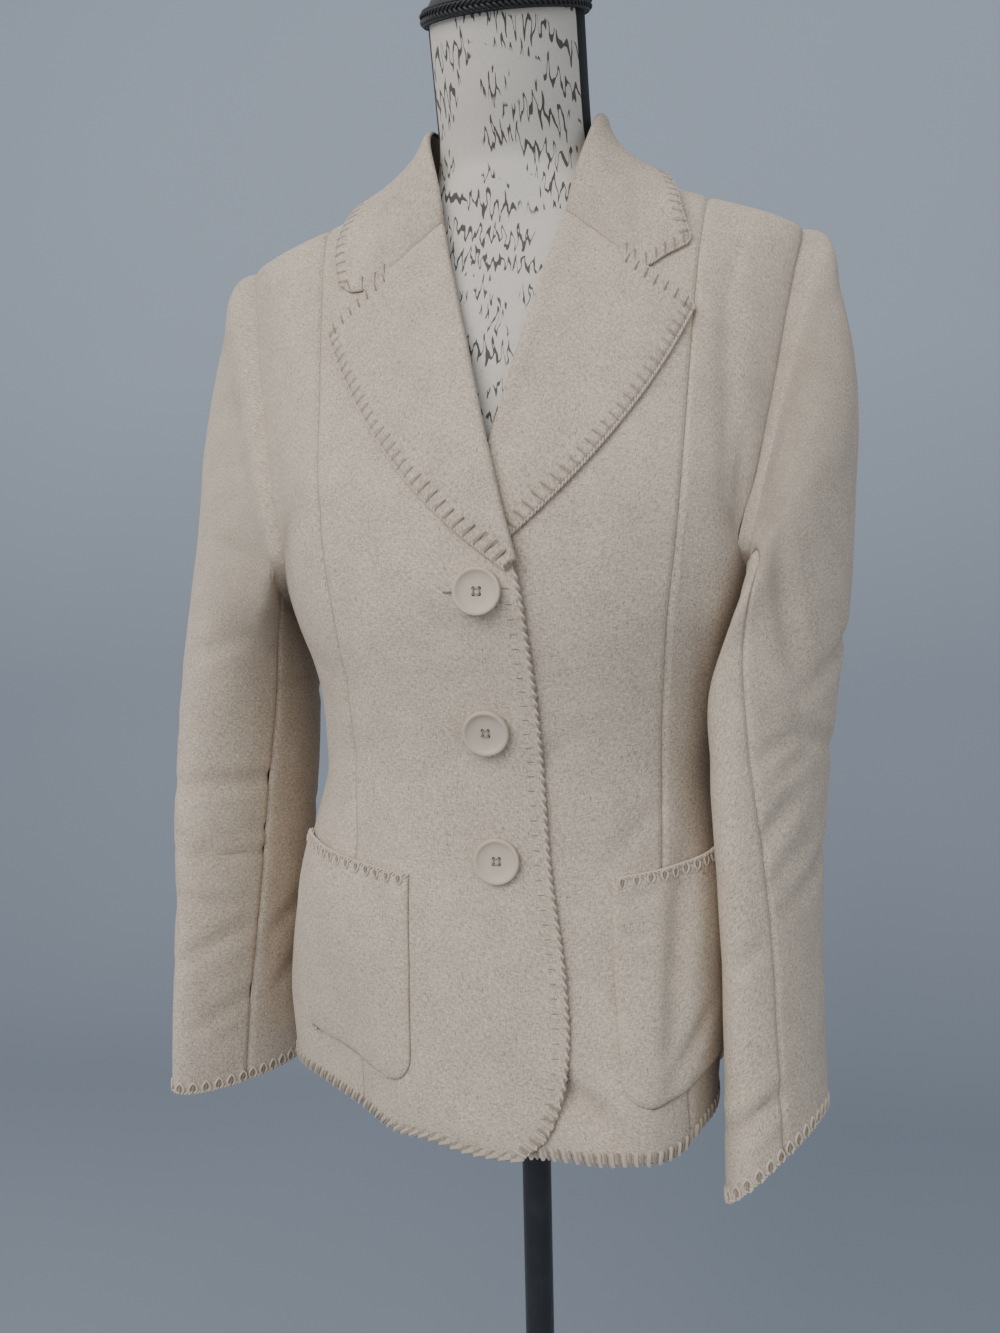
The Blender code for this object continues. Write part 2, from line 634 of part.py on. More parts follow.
def neckline_point(side, share):
    """Point of the panels' neckline at a share of the way from the gorge seam to the centre back."""
    front, back = neckline_front(), neckline_back()
    shoulder_share = 0.45
    if share < shoulder_share:
        line, position, behind = front, share / shoulder_share, False
    else:
        line, position, behind = back, (share - shoulder_share) / (1 - shoulder_share), True
    place = position * (len(line) - 1)
    index = min(int(place), len(line) - 2)
    t = place - index
    x, z = (a + (b - a) * t for a, b in zip(line[index], line[index + 1]))
    return side_point(side, x, z, 0.0, behind)


def stand_column(side, share):
    """Stand from the neckline up to the underside of the collar's fold, outer skin first."""
    fold, _, _, out = collar_frame(side, share)
    foot = neckline_point(side, share)
    inward = Vector((-foot.x, -foot.y, 0.0)).normalized()
    foot = foot + Vector((0.0, 0.0, REST_GAP))
    head_outer, head_inner = fold - out * REST_GAP, fold - out * (REST_GAP + CLOTH)
    pairs = []
    for rise in (0.0, 0.5, 1.0):
        pairs.append((foot.lerp(head_outer, rise), (foot + inward * CLOTH).lerp(head_inner, rise)))
    return pairs


def build_stand(collection, material):
    last = STAND_FIRST_COLUMN / COLLAR_HALF_COLUMNS
    lines = [stand_column(side, share) for side, share in collar_places() if share >= last]
    columns, rows = len(lines) - 1, len(lines[0]) - 1
    cloth_shell("collar_stand", columns, rows, lambda column, row: lines[column][row], collection, material)


# ---------------------------------------------------------------- pockets
def angle_along(side, start, z, distance):
    """Angle reached from a start angle after a distance along the cloth, away from the front."""
    step = math.radians(1.0)
    angle, place = start, body_face(side.sign * start, z)
    while distance > 0:
        ahead = body_face(side.sign * (angle + step), z)
        length = (ahead - place).length
        angle += step * min(distance / length, 1.0)
        place = ahead
        distance -= length
    return angle


def build_pocket(side, collection, material):
    def corner_inset(height):
        short = max(POCKET_CORNER - height, 0.0)
        return POCKET_CORNER - math.sqrt(POCKET_CORNER ** 2 - short ** 2)

    def skins(column, row):
        across, up = column / POCKET_COLUMNS, (row / POCKET_ROWS) ** 1.4
        height = (POCKET_TOP_Z - POCKET_BOTTOM_Z) * up
        z = POCKET_BOTTOM_Z + height + POCKET_TOP_RISE * across
        inset = corner_inset(height)
        distance = inset + across * (POCKET_WIDTH - 2 * inset)
        start = view_angle(side.pocket_x, z)
        angle = angle_along(side, start, z, distance)
        low = front_lift(side, view_x(angle, z), z) + LAY_GAP
        return (body_point(side.sign * angle, z, low + FACED_CLOTH), body_point(side.sign * angle, z, low))

    cloth_shell(f"pocket_{side.name}", POCKET_COLUMNS, POCKET_ROWS, skins, collection, material)


# ---------------------------------------------------------------- sleeves
def armhole_point(side, step, lift, shrink=0.0):
    """Point of the armhole seam, or of a loop shrunk towards the armhole's centre."""
    y, z = armhole_turn(step % ARM_STEPS)
    to_centre = Vector((ARMHOLE_CENTRE[0] - y, ARMHOLE_CENTRE[1] - z)).normalized() * shrink
    y, z = y + to_centre.x, z + to_centre.y
    return body_point(side.sign * side_view_angle(y, z), z, lift)


def head_point(side, turn):
    """Point of a sleeve's head, which stands straight out from the armhole seam."""
    y, z = armhole_turn(turn / 360 * ARM_STEPS % ARM_STEPS)
    seam = body_face(side_view_angle(y, z), z)
    least, most = HEAD_OUT
    out = least + (most - least) * max(math.cos(math.radians(turn)), 0.0)
    return Vector((side.sign * (seam.x + out), seam.y * HEAD_SPREAD, z - HEAD_DROP))


def sleeve_face(side, ring, turn):
    """Outer face of a sleeve. Ring 1 is its head, and turn runs from its outer line over the front."""
    row = (LEFT_SLEEVE if side.sign > 0 else RIGHT_SLEEVE).at(ring)
    across, forward = math.cos(math.radians(turn)), math.sin(math.radians(turn))
    sink = row.slouch * forward * (1.0 if forward > 0 else BACK_SLOUCH)
    forward = math.sin(math.radians(turn - sink))
    x = (row.outer_x + row.inner_x) / 2 + across * (row.outer_x - row.inner_x) / 2
    z = (row.outer_z + row.inner_z) / 2 + across * (row.outer_z - row.inner_z) / 2
    yaw = math.radians(row.yaw)
    x -= forward * row.half_deep * math.sin(yaw)
    point = Vector((side.sign * x, row.y - forward * row.half_deep * math.cos(yaw), z))
    rise = max(FIRST_RING - ring, 0.0) / (FIRST_RING - 1)
    bulge = side.shoulder_bulge * 2 * rise * (1 - rise) * (1 + across)
    return point.lerp(head_point(side, turn), rise) + Vector((side.sign * bulge, 0.0, 0.0))


def sleeve_skins(side, ring, turn):
    step, turn_step = 0.05, 1.0
    down = (sleeve_face(side, min(ring + step, SLEEVE_RINGS), turn)
            - sleeve_face(side, max(ring - step, 1), turn))
    around = sleeve_face(side, ring, turn + turn_step) - sleeve_face(side, ring, turn - turn_step)
    out = around.cross(down).normalized() * side.sign
    face = sleeve_face(side, ring, turn)
    return face, face - out * CLOTH


def build_sleeve_piece(side, name, seams, collection, material):
    """One cut piece of a sleeve. seams holds the turn of its two seams at the armhole and the cuff."""
    (start, start_cuff), (end, end_cuff) = seams
    columns = round((end - start) * ARM_STEPS / 360)
    rings = SLEEVE_RINGS
    grid = {}
    for column in range(columns + 1):
        for ring in range(rings + 1):
            down = ring / rings
            head_turn = start + (end - start) * column / columns
            cuff_turn = start_cuff + (end_cuff - start_cuff) * column / columns
            turn = head_turn + (cuff_turn - head_turn) * smooth_step(0.0, 1.0, down)
            if ring == 0:
                step = head_turn * ARM_STEPS / 360
                grid[column, ring] = (armhole_point(side, step, SLEEVE_LIFT, -0.3 * CLOTH),
                                      armhole_point(side, step, SLEEVE_LIFT, 0.7 * CLOTH))
            else:
                grid[column, ring] = sleeve_skins(side, ring, turn)
    grid = inset_rim(grid, columns, rings, HALF_SLEEVE_SEAM)
    cloth_shell(f"{name}_{side.name}", columns, rings, lambda *place: grid[place], collection, material)


def build_sleeve(side, collection, material):
    front, front_cuff = side.front_seam
    back = (BACK_SEAM, BACK_SEAM + side.back_twist)
    build_sleeve_piece(side, "top_sleeve", ((back[0] - 360, back[1] - 360), (front, front_cuff)),
                       collection, material)
    build_sleeve_piece(side, "under_sleeve", ((front, front_cuff), back), collection, material)


# ---------------------------------------------------------------- turned and primitive pieces
def turned(name, profile, steps, collection, material):
    """Solid turned about its own Z axis from (radius, height) points, top to bottom."""
    mesh = bpy.data.meshes.new(name)
    points = [(radius, 0.0, height) for radius, height in profile]
    mesh.from_pydata(points, [(i, i + 1) for i in range(len(points) - 1)], [])
    mesh.materials.append(material)
    thing = bpy.data.objects.new(name, mesh)
    collection.objects.link(thing)
    screw = thing.modifiers.new("turn", "SCREW")
    screw.steps = steps
    screw.render_steps = steps
    screw.use_merge_vertices = True
    screw.merge_threshold = 0.00002
    screw.use_smooth_shade = True
    return thing


def build_button(place, collection, cutters, material):
    name, x, z = place["name"], place["x"], place["z"]
    rim, deep = BUTTON_RADIUS, BUTTON_THICKNESS
    profile = ((0.0, 0.66 * deep), (0.58 * rim, 0.66 * deep), (0.74 * rim, deep), (0.90 * rim, deep),
               (rim, 0.70 * deep), (rim, 0.30 * deep), (0.90 * rim, 0.0), (0.0, 0.0))
    button = turned(name, profile, BUTTON_SEGMENTS, collection, material)
    lift = front_lift(RIGHT, -x, z) + place["gap"]
    seat = side_point(RIGHT, -x, z, lift)
    normal = (side_point(RIGHT, -x, z, lift + 0.001) - seat).normalized()
    button.location = seat
    button.rotation_euler = normal.to_track_quat("Z", "Y").to_euler()
    editor = bmesh.new()
    for across in (-1, 1):
        for up in (-1, 1):
            made = bmesh.ops.create_cone(editor, cap_ends=True, segments=6, depth=4 * deep,
                                         radius1=BUTTON_HOLE_RADIUS, radius2=BUTTON_HOLE_RADIUS)
            offset = Vector((across, up, 0.0)) * BUTTON_HOLE_PITCH / 2
            bmesh.ops.translate(editor, verts=made["verts"], vec=offset)
    cutter = new_object(f"{name}_holes", editor, cutters, material)
    cutter.parent = button
    cutter.hide_render = True
    cutter.display_type = "WIRE"
    cut = button.modifiers.new("holes", "BOOLEAN")
    cut.object = cutter
    cut.operation = "DIFFERENCE"
    cut.solver = "EXACT"


# ---------------------------------------------------------------- dress form and its stand
def form_ring_point(index, angle):
    """Point of the form's skin on one of its rings, counted from the torso's underside."""
    if index < len(TORSO_RINGS):
        ring = TORSO_RINGS[index]
        point = body_point(angle, ring["z"], -(CLOTH + ring["ease"]))
        if index == 0:
            point.z = TORSO_FLOOR_Z
        return point
    ring = NECK_RINGS[index - len(TORSO_RINGS)]
    depth = -math.cos(angle) * ring["half_depth"]
    lean = math.radians(ring["lean"])
    return Vector((math.sin(angle) * ring["half_width"], ring["y"] + depth * math.cos(lean),
                   ring["z"] + depth * math.sin(lean)))


def build_torso(collection, material):
    rings = len(TORSO_RINGS) + len(NECK_RINGS)
    editor = bmesh.new()
    bmesh.ops.create_uvsphere(editor, u_segments=FORM_SEGMENTS, v_segments=rings + 1, radius=1.0)
    for vert in editor.verts:
        level = round((1 - math.acos(max(-1.0, min(1.0, vert.co.z))) / math.pi) * (rings + 1))
        index = min(max(level - 1, 0), rings - 1)
        if 0 < level <= rings:
            vert.co = form_ring_point(index, math.atan2(vert.co.x, -vert.co.y))
        else:
            front, behind = form_ring_point(index, 0.0), form_ring_point(index, math.pi)
            vert.co = (front + behind) / 2
    new_object("form_torso", editor, collection, material)


def build_neck_cap(collection, material):
    lean = math.radians(NECK_TOP["lean"])
    axis = Vector((0.0, -math.sin(lean), math.cos(lean)))
    seat = Vector((0.0, NECK_TOP["y"], NECK_TOP["z"])) + axis * REST_GAP
    radius = CAP_RADIUS
    profile = ((0.0, CAP_HEIGHT), (0.55 * radius, 0.94 * CAP_HEIGHT), (0.85 * radius, 0.74 * CAP_HEIGHT),
               (radius, 0.45 * CAP_HEIGHT), (radius, 0.0), (0.0, 0.0))
    cap = turned("neck_cap", profile, FORM_SEGMENTS, collection, material)
    cap.location = seat
    cap.rotation_euler = (lean, 0.0, 0.0)
    bpy.ops.mesh.primitive_torus_add(
        major_segments=FORM_SEGMENTS, minor_segments=8, major_radius=radius + TRIM_RADIUS + REST_GAP,
        minor_radius=TRIM_RADIUS, location=seat + axis * TRIM_RADIUS, rotation=(lean, 0.0, 0.0))
    adopt(bpy.context.object, "neck_trim", collection, material)


def adopt(thing, name, collection, material):
    for owner in list(thing.users_collection):
        owner.objects.unlink(thing)
    collection.objects.link(thing)
    thing.name = name
    thing.data.materials.append(material)
    thing.data.shade_smooth()
    thing.data.set_sharp_from_angle(angle=math.radians(40.0))


def build_stand_pole(collection, material):
    top, foot = TORSO_FLOOR_Z - REST_GAP, BASE_HUB_HEIGHT + REST_GAP
    bpy.ops.mesh.primitive_cylinder_add(vertices=24, radius=POLE_RADIUS, depth=top - foot,
                                        location=(0.0, 0.0, (top + foot) / 2))
    adopt(bpy.context.object, "pole", collection, material)
    profile = ((0.0, BASE_HUB_HEIGHT), (0.020, BASE_HUB_HEIGHT), (0.023, BASE_HUB_HEIGHT - 0.003),
               (0.024, 0.014), (0.60 * BASE_RADIUS, 0.011), (0.95 * BASE_RADIUS, 0.007),
               (BASE_RADIUS, 0.004), (BASE_RADIUS, 0.0), (0.0, 0.0))
    turned("base", profile, 48, collection, material)


# ---------------------------------------------------------------- assembly
def new_material(name):
    colour, roughness, metallic = COLOURS[name]
    material = bpy.data.materials.new(name)
    material.use_nodes = True
    shader = material.node_tree.nodes["Principled BSDF"]
    shader.inputs["Base Color"].default_value = (*colour, 1.0)
    shader.inputs["Roughness"].default_value = roughness
    shader.inputs["Metallic"].default_value = metallic
    return material


def new_collection(name):
    collection = bpy.data.collections.new(name)
    bpy.context.scene.collection.children.link(collection)
    return collection


def main():
    for thing in list(bpy.data.objects):
        bpy.data.objects.remove(thing, do_unlink=True)
    blazer, cutters = new_collection("blazer_on_dress_form"), new_collection("cutters")
    material = {name: new_material(name) for name in COLOURS}
    for side in SIDES:
        build_front(side, blazer, material["cloth"])
        build_side_front(side, blazer, material["cloth"])
        build_back(side, blazer, material["cloth"])
        build_lapel(side, blazer, material["cloth"])
        build_pocket(side, blazer, material["cloth"])
        build_sleeve(side, blazer, material["cloth"])
    build_collar(blazer, material["cloth"])
    build_stand(blazer, material["cloth"])
    for place in BUTTONS:
        build_button(place, blazer, cutters, material["button"])
    build_torso(blazer, material["cover"])
    build_neck_cap(blazer, material["trim"])
    build_stand_pole(blazer, material["stand"])


main()
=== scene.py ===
"""A three-button blazer with blanket-stitched edges, buttoned on a dress form.

Metres, +Z up. The blazer faces -Y and the wearer's left is +X. The cloth follows one torso surface, read
from BODY by the angle around it (0 at the centre front) and the height. Panels are laid out in the front or
back view of that surface. In side-neutral functions x is positive towards the panel's own side, and
side.sign is +1 for the wearer's left and -1 for the right.
"""
import functools
import math
from collections import namedtuple

import bmesh
import bpy
import numpy as np
from mathutils import Matrix, Vector, noise


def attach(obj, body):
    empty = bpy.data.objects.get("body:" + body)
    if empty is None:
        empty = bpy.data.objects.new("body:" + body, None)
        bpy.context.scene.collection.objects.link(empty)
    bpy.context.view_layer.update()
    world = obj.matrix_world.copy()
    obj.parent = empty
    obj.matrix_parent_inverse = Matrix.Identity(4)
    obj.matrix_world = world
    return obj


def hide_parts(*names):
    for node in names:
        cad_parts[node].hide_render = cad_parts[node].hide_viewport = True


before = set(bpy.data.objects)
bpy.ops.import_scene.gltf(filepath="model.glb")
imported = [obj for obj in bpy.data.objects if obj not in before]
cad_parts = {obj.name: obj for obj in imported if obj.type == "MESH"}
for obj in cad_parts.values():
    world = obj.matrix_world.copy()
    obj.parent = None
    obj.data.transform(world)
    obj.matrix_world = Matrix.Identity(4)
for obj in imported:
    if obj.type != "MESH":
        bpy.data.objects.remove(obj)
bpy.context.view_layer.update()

bl_info = {
    "name": "Blazer on Dress Form",
    "version": (1, 0, 0),
    "blender": (4, 5, 0),
    "location": "View3D > Sidebar > Blazer",
    "description": "Builds a three-button blazer with hand-stitched edges on a dress form",
    "category": "Add Mesh",
}

# ---- the garment's own sizes
HEM_Z = 0.857
UNDERARM_Z = 1.190
BREAK_Z = 1.212           # the roll line leaves the front edge here
GORGE_Z = 1.438           # the roll line meets the gorge seam here
SHOULDER_TIP_Z = 1.438
NECK_POINT_Z = 1.482
BACK_NECK_Z = 1.478
BREAK_X = -0.0165
GORGE_X = 0.0425
ROWS_BELOW_ARM = 9
ROWS_BESIDE_ARM = 12
TOP_ROW = ROWS_BELOW_ARM + ROWS_BESIDE_ARM
NECK_ROWS = 3
ROLL_ROWS = ROWS_BESIDE_ARM - 1 - NECK_ROWS
LAP_LIFT = 0.0028         # the right front stands this far off the left one
LAPEL_LAP_LIFT = 0.0034   # and this much further where it covers the left lapel
LAPEL_REST = 0.0012       # air under a lapel, collar or pocket
LAPEL_THICK = 0.0022
BUTTON_RADIUS = 0.0143
BUTTON_THICK = 0.0044
CORD_PITCH = 0.0056       # one turn of a twisted cord
FRONT_CORD_PITCH = 0.0060
WELD = 1e-6               # points nearer than this are joined


def mix(start, end, share):
    return start + (end - start) * share


def mix_pair(start, end, share):
    return tuple(mix(a, b, share) for a, b in zip(start, end))


def smooth_step(low, high, value):
    t = min(max((value - low) / (high - low), 0.0), 1.0)
    return t * t * (3 - 2 * t)


def table(name, columns, *rows):
    """Rows of numbers with named columns."""
    row_type = namedtuple(name, columns)
    return [row_type(*row) for row in rows]


class Sections:
    """Rows of named sizes, read smoothly between the rows by their first column."""

    def __init__(self, columns, *rows):
        self.row_type = namedtuple("Row", columns)
        self.rows = [self.row_type(*row) for row in rows]
        self.keys = [row[0] for row in rows]
        self.slopes = [self._slopes([row[i] for row in rows]) for i in range(len(rows[0]))]

    def _slopes(self, values):
        steps = [(b - a) / (k1 - k0) for a, b, k0, k1 in
                 zip(values, values[1:], self.keys, self.keys[1:])]
        inner = [0.0 if a * b <= 0 else 2 * a * b / (a + b) for a, b in zip(steps, steps[1:])]
        return [steps[0], *inner, steps[-1]]

    @functools.lru_cache(maxsize=20000)
    def at(self, key):
        key = min(max(key, self.keys[0]), self.keys[-1])
        index = max(i for i, start in enumerate(self.keys[:-1]) if start <= key)
        span = self.keys[index + 1] - self.keys[index]
        t = (key - self.keys[index]) / span
        start, end = self.rows[index], self.rows[index + 1]
        values = []
        for a, b, slope in zip(start, end, self.slopes):
            tangents = (t ** 3 - 2 * t ** 2 + t) * slope[index] + (t ** 3 - t ** 2) * slope[index + 1]
            values.append(a + (3 * t ** 2 - 2 * t ** 3) * (b - a) + span * tangents)
        return self.row_type(*values)


# The outer face of the buttoned blazer, as rings: half width, depth in front of and behind the pole, and
# the power of the ring's curve (2 is an ellipse, more is squarer).
BODY = Sections(
    "z half_width front back fullness",
    (0.820, 0.178, 0.153, 0.130, 2.05),
    (0.857, 0.180, 0.152, 0.130, 2.05),
    (0.900, 0.182, 0.147, 0.126, 2.10),
    (0.950, 0.177, 0.142, 0.118, 2.20),
    (1.000, 0.167, 0.136, 0.108, 2.30),
    (1.040, 0.154, 0.132, 0.098, 2.30),
    (1.080, 0.144, 0.132, 0.094, 2.30),
    (1.120, 0.145, 0.138, 0.094, 2.30),
    (1.190, 0.164, 0.151, 0.101, 2.30),
    (1.250, 0.181, 0.145, 0.107, 2.30),
    (1.320, 0.192, 0.118, 0.106, 2.30),
    (1.380, 0.198, 0.092, 0.096, 2.20),
    (1.420, 0.199, 0.070, 0.080, 2.10),
    (1.434, 0.196, 0.060, 0.073, 2.00),
    (1.440, 0.188, 0.057, 0.070, 2.00),
    (1.460, 0.134, 0.050, 0.066, 2.00),
    (1.480, 0.077, 0.048, 0.064, 2.00),
    (1.500, 0.064, 0.048, 0.063, 2.00),
)
# Soft lobes and hollows of the skirt, by the angle around the body.
LOBES = table(
    "Lobe", "angle depth top spread",
    (-44.0, -0.018, 1.010, 20.0), (27.0, 0.021, 1.010, 13.0), (80.0, -0.044, 1.150, 27.0),
)
# Where the hem waves: angle around the body in degrees, rise and spread.
HEM_WAVES = ((-17.0, 0.0045, 8.0), (-63.0, 0.0030, 9.0), (47.0, 0.0020, 7.0), (125.0, 0.0030, 14.0),
             (-130.0, 0.0030, 12.0))
FRONT_EDGE = Sections(
    "z x",
    (0.8535, -0.013),
    (0.8650, -0.027),
    (0.8810, -0.035),
    (0.9020, -0.040),
    (0.9260, -0.042),
    (0.9620, -0.040),
    (1.0330, -0.031),
    (1.1300, -0.026),
    (1.1900, -0.0205),
)
PRINCESS = Sections(
    "z x",
    (0.857, 0.112),
    (1.025, 0.101),
    (1.104, 0.101),
    (1.166, 0.104),
    (1.230, 0.111),
    (1.277, 0.115),
    (1.330, 0.119),
    (1.400, 0.125),
    (1.440, 0.130),
    (1.4603, 0.1332),
)
PRINCESS_TOP_Z = PRINCESS.keys[-1]
# The armhole seam in the side view, by the turn from its top over the front.
ARMHOLE = Sections(
    "turn y z",
    (0.0, 0.0000, 1.4380),
    (30.0, -0.0170, 1.4215),
    (60.0, -0.0405, 1.3760),
    (90.0, -0.0635, 1.3140),
    (120.0, -0.0850, 1.2520),
    (135.0, -0.0880, 1.2265),
    (150.0, -0.0690, 1.2065),
    (180.0, 0.0000, 1.1900),
    (210.0, 0.0560, 1.2065),
    (240.0, 0.0780, 1.2520),
    (270.0, 0.0705, 1.3140),
    (300.0, 0.0510, 1.3760),
    (330.0, 0.0210, 1.4215),
    (360.0, 0.0000, 1.4380),
)
LAPEL_BELLY = 0.014
LAPEL_FOOT = (0.0040, -0.0030)
Side = namedtuple("Side", "name sign lapel_x lapel_z collar_x collar_z pocket_x front_seam back_twist "
                          "shoulder_bulge seam_tuck")
RIGHT = Side("right", -1, 0.1145, 1.3690, 0.1085, 1.3945, 0.057, (158.0, 160.0), 22.0, 0.008, 0.0)
LEFT = Side("left", 1, 0.1220, 1.3710, 0.1205, 1.4150, 0.069, (126.0, 48.0), -25.0, 0.0125, 24.0)
SIDES = (RIGHT, LEFT)
BACK_SEAM = 235.0
# The collar from the gorge seam (0) to the centre back (1): its fold, its outer edge and its swell.
COLLAR = Sections(
    "share fold_x fold_y fold_z edge_x edge_y edge_z swell",
    (0.00, 0.0425, -0.0590, 1.4390, 0.117, -0.0680, 1.4120, 0.001),
    (0.16, 0.0485, -0.0510, 1.4670, 0.114, -0.0490, 1.4440, -0.001),
    (0.36, 0.0595, -0.0240, 1.5100, 0.102, -0.0160, 1.4740, -0.004),
    (0.56, 0.0615, 0.0120, 1.5270, 0.094, 0.0260, 1.4760, -0.0045),
    (0.76, 0.0470, 0.0440, 1.5280, 0.074, 0.0600, 1.4620, -0.001),
    (0.90, 0.0230, 0.0585, 1.5280, 0.039, 0.0690, 1.4660, 0.004),
    (1.00, 0.0000, 0.0615, 1.5280, 0.000, 0.0720, 1.4680, 0.004),
)
COLLAR_HALF_COLUMNS = 9
LAPEL_SHARES = (0.0, 0.15, 0.30, 0.45, 0.60, 0.80, 1.0)
NOTCH_INDEX = 4
# How a fold turns over its panel's rim: distance back past the fold, and height against the underside.
FOLD_TURN = table(
    "FoldTurn", "back drop rise",
    (0.0029, 1.00, 0.00), (0.0033, 0.45, 0.10), (0.0021, 0.00, 0.70),
)
FOLD_STEPS = len(FOLD_TURN)
FOLD_ROOT = 0.0012
COLLAR_TURN_DROP = 0.0024
# Rings of the sleeves below the armhole: their outer and inner ends, the middle's depth, half the ring's
# depth, its turn about the sleeve's line and how far its foremost part sinks, both in degrees.
# Above the first ring a sleeve runs straight up to its head. The head is the armhole seam moved out, least
# below and most on top, spread to the front and back, and dropped. The hindmost part has a share of the sink.
FIRST_RING = 5
HEAD_OUT = (0.0045, 0.012)
HEAD_SPREAD = 1.03
HEAD_DROP = 0.002
BACK_SLOUCH = 0.4
SLEEVE_COLUMNS = "ring outer_x outer_z inner_x inner_z y half_deep yaw slouch"
LEFT_SLEEVE = Sections(
    SLEEVE_COLUMNS,
    (5, 0.2190, 1.2600, 0.1565, 1.1480, -0.040, 0.074, 25, 12),
    (6, 0.2120, 1.1950, 0.1460, 1.1200, -0.047, 0.070, 30, 5),
    (7, 0.2030, 1.1200, 0.1430, 1.0800, -0.054, 0.066, 29, 0),
    (8, 0.1985, 1.0500, 0.1430, 1.0300, -0.058, 0.062, 26, 0),
    (9, 0.1970, 0.9850, 0.1440, 0.9700, -0.065, 0.059, 24, 0),
    (10, 0.1965, 0.9200, 0.1450, 0.8950, -0.074, 0.057, 24, 0),
    (11, 0.1980, 0.8560, 0.1450, 0.8100, -0.084, 0.055, 24, 0),
)
RIGHT_SLEEVE = Sections(
    SLEEVE_COLUMNS,
    (5, 0.2345, 1.2600, 0.1700, 1.1500, -0.010, 0.073, -4, 14),
    (6, 0.2400, 1.1950, 0.1720, 1.1250, -0.010, 0.070, -9, 7),
    (7, 0.2440, 1.1200, 0.1760, 1.0850, -0.012, 0.067, -15, 2),
    (8, 0.2455, 1.0500, 0.1810, 1.0350, -0.016, 0.064, -19, 0),
    (9, 0.2440, 0.9800, 0.1860, 0.9750, -0.022, 0.061, -22, 0),
    (10, 0.2430, 0.9100, 0.1935, 0.9050, -0.029, 0.058, -26, 0),
    (11, 0.2420, 0.8440, 0.1975, 0.8390, -0.036, 0.055, -30, 0),
)
SLEEVE_RINGS = 11
SLEEVE_TUCK = (-0.0016, -0.0018)   # a sleeve starts this far off the panels and inside the armhole
POCKET_WIDTH = 0.118
POCKET_CORNER = 0.018
POCKET_BOTTOM_Z = 0.888
POCKET_TOP_Z = 1.019
POCKET_TOP_RISE = 0.010
BUTTONS = table(
    "Button", "name x z",
    ("button_top", -0.004, 1.197), ("button_middle", -0.004, 1.113), ("button_bottom", 0.000, 1.032),
)
TORSO_FLOOR_Z = 0.885
# The form's torso, as its distance inside the blazer's outer face and its swell towards the throat, and
# its neck, as leaning ellipses.
TORSO_RINGS = table(
    "TorsoRing", "z ease throat",
    (0.885, 0.0236, 0.0), (0.893, 0.0156, 0.0), (0.915, 0.0126, 0.0),
    (0.960, 0.0116, 0.0), (1.010, 0.0096, 0.0), (1.060, 0.0076, 0.0),
    (1.110, 0.0066, 0.0), (1.160, 0.0056, 0.0), (1.210, 0.0046, 0.0),
    (1.265, 0.0041, 0.0), (1.320, 0.0038, 0.0), (1.370, 0.0042, 0.0),
    (1.405, 0.0052, 0.0), (1.428, 0.0072, 0.0010), (1.442, 0.0076, 0.0025),
    (1.455, 0.0076, 0.0050), (1.466, 0.0082, 0.0070), (1.475, 0.0101, 0.0090),
)
NECK_RINGS = table(
    "NeckRing", "z y half_width half_depth lean",
    (1.489, 0.004, 0.0580, 0.0500, 4),
    (1.507, -0.001, 0.0545, 0.0510, 10),
    (1.533, -0.013, 0.0532, 0.0520, 16),
    (1.558, -0.024, 0.0528, 0.0525, 20),
    (1.578, -0.033, 0.0525, 0.0525, 22),
)
NECK_TOP = NECK_RINGS[-1]
CAP_RADIUS = 0.0545
CAP_HEIGHT = 0.026

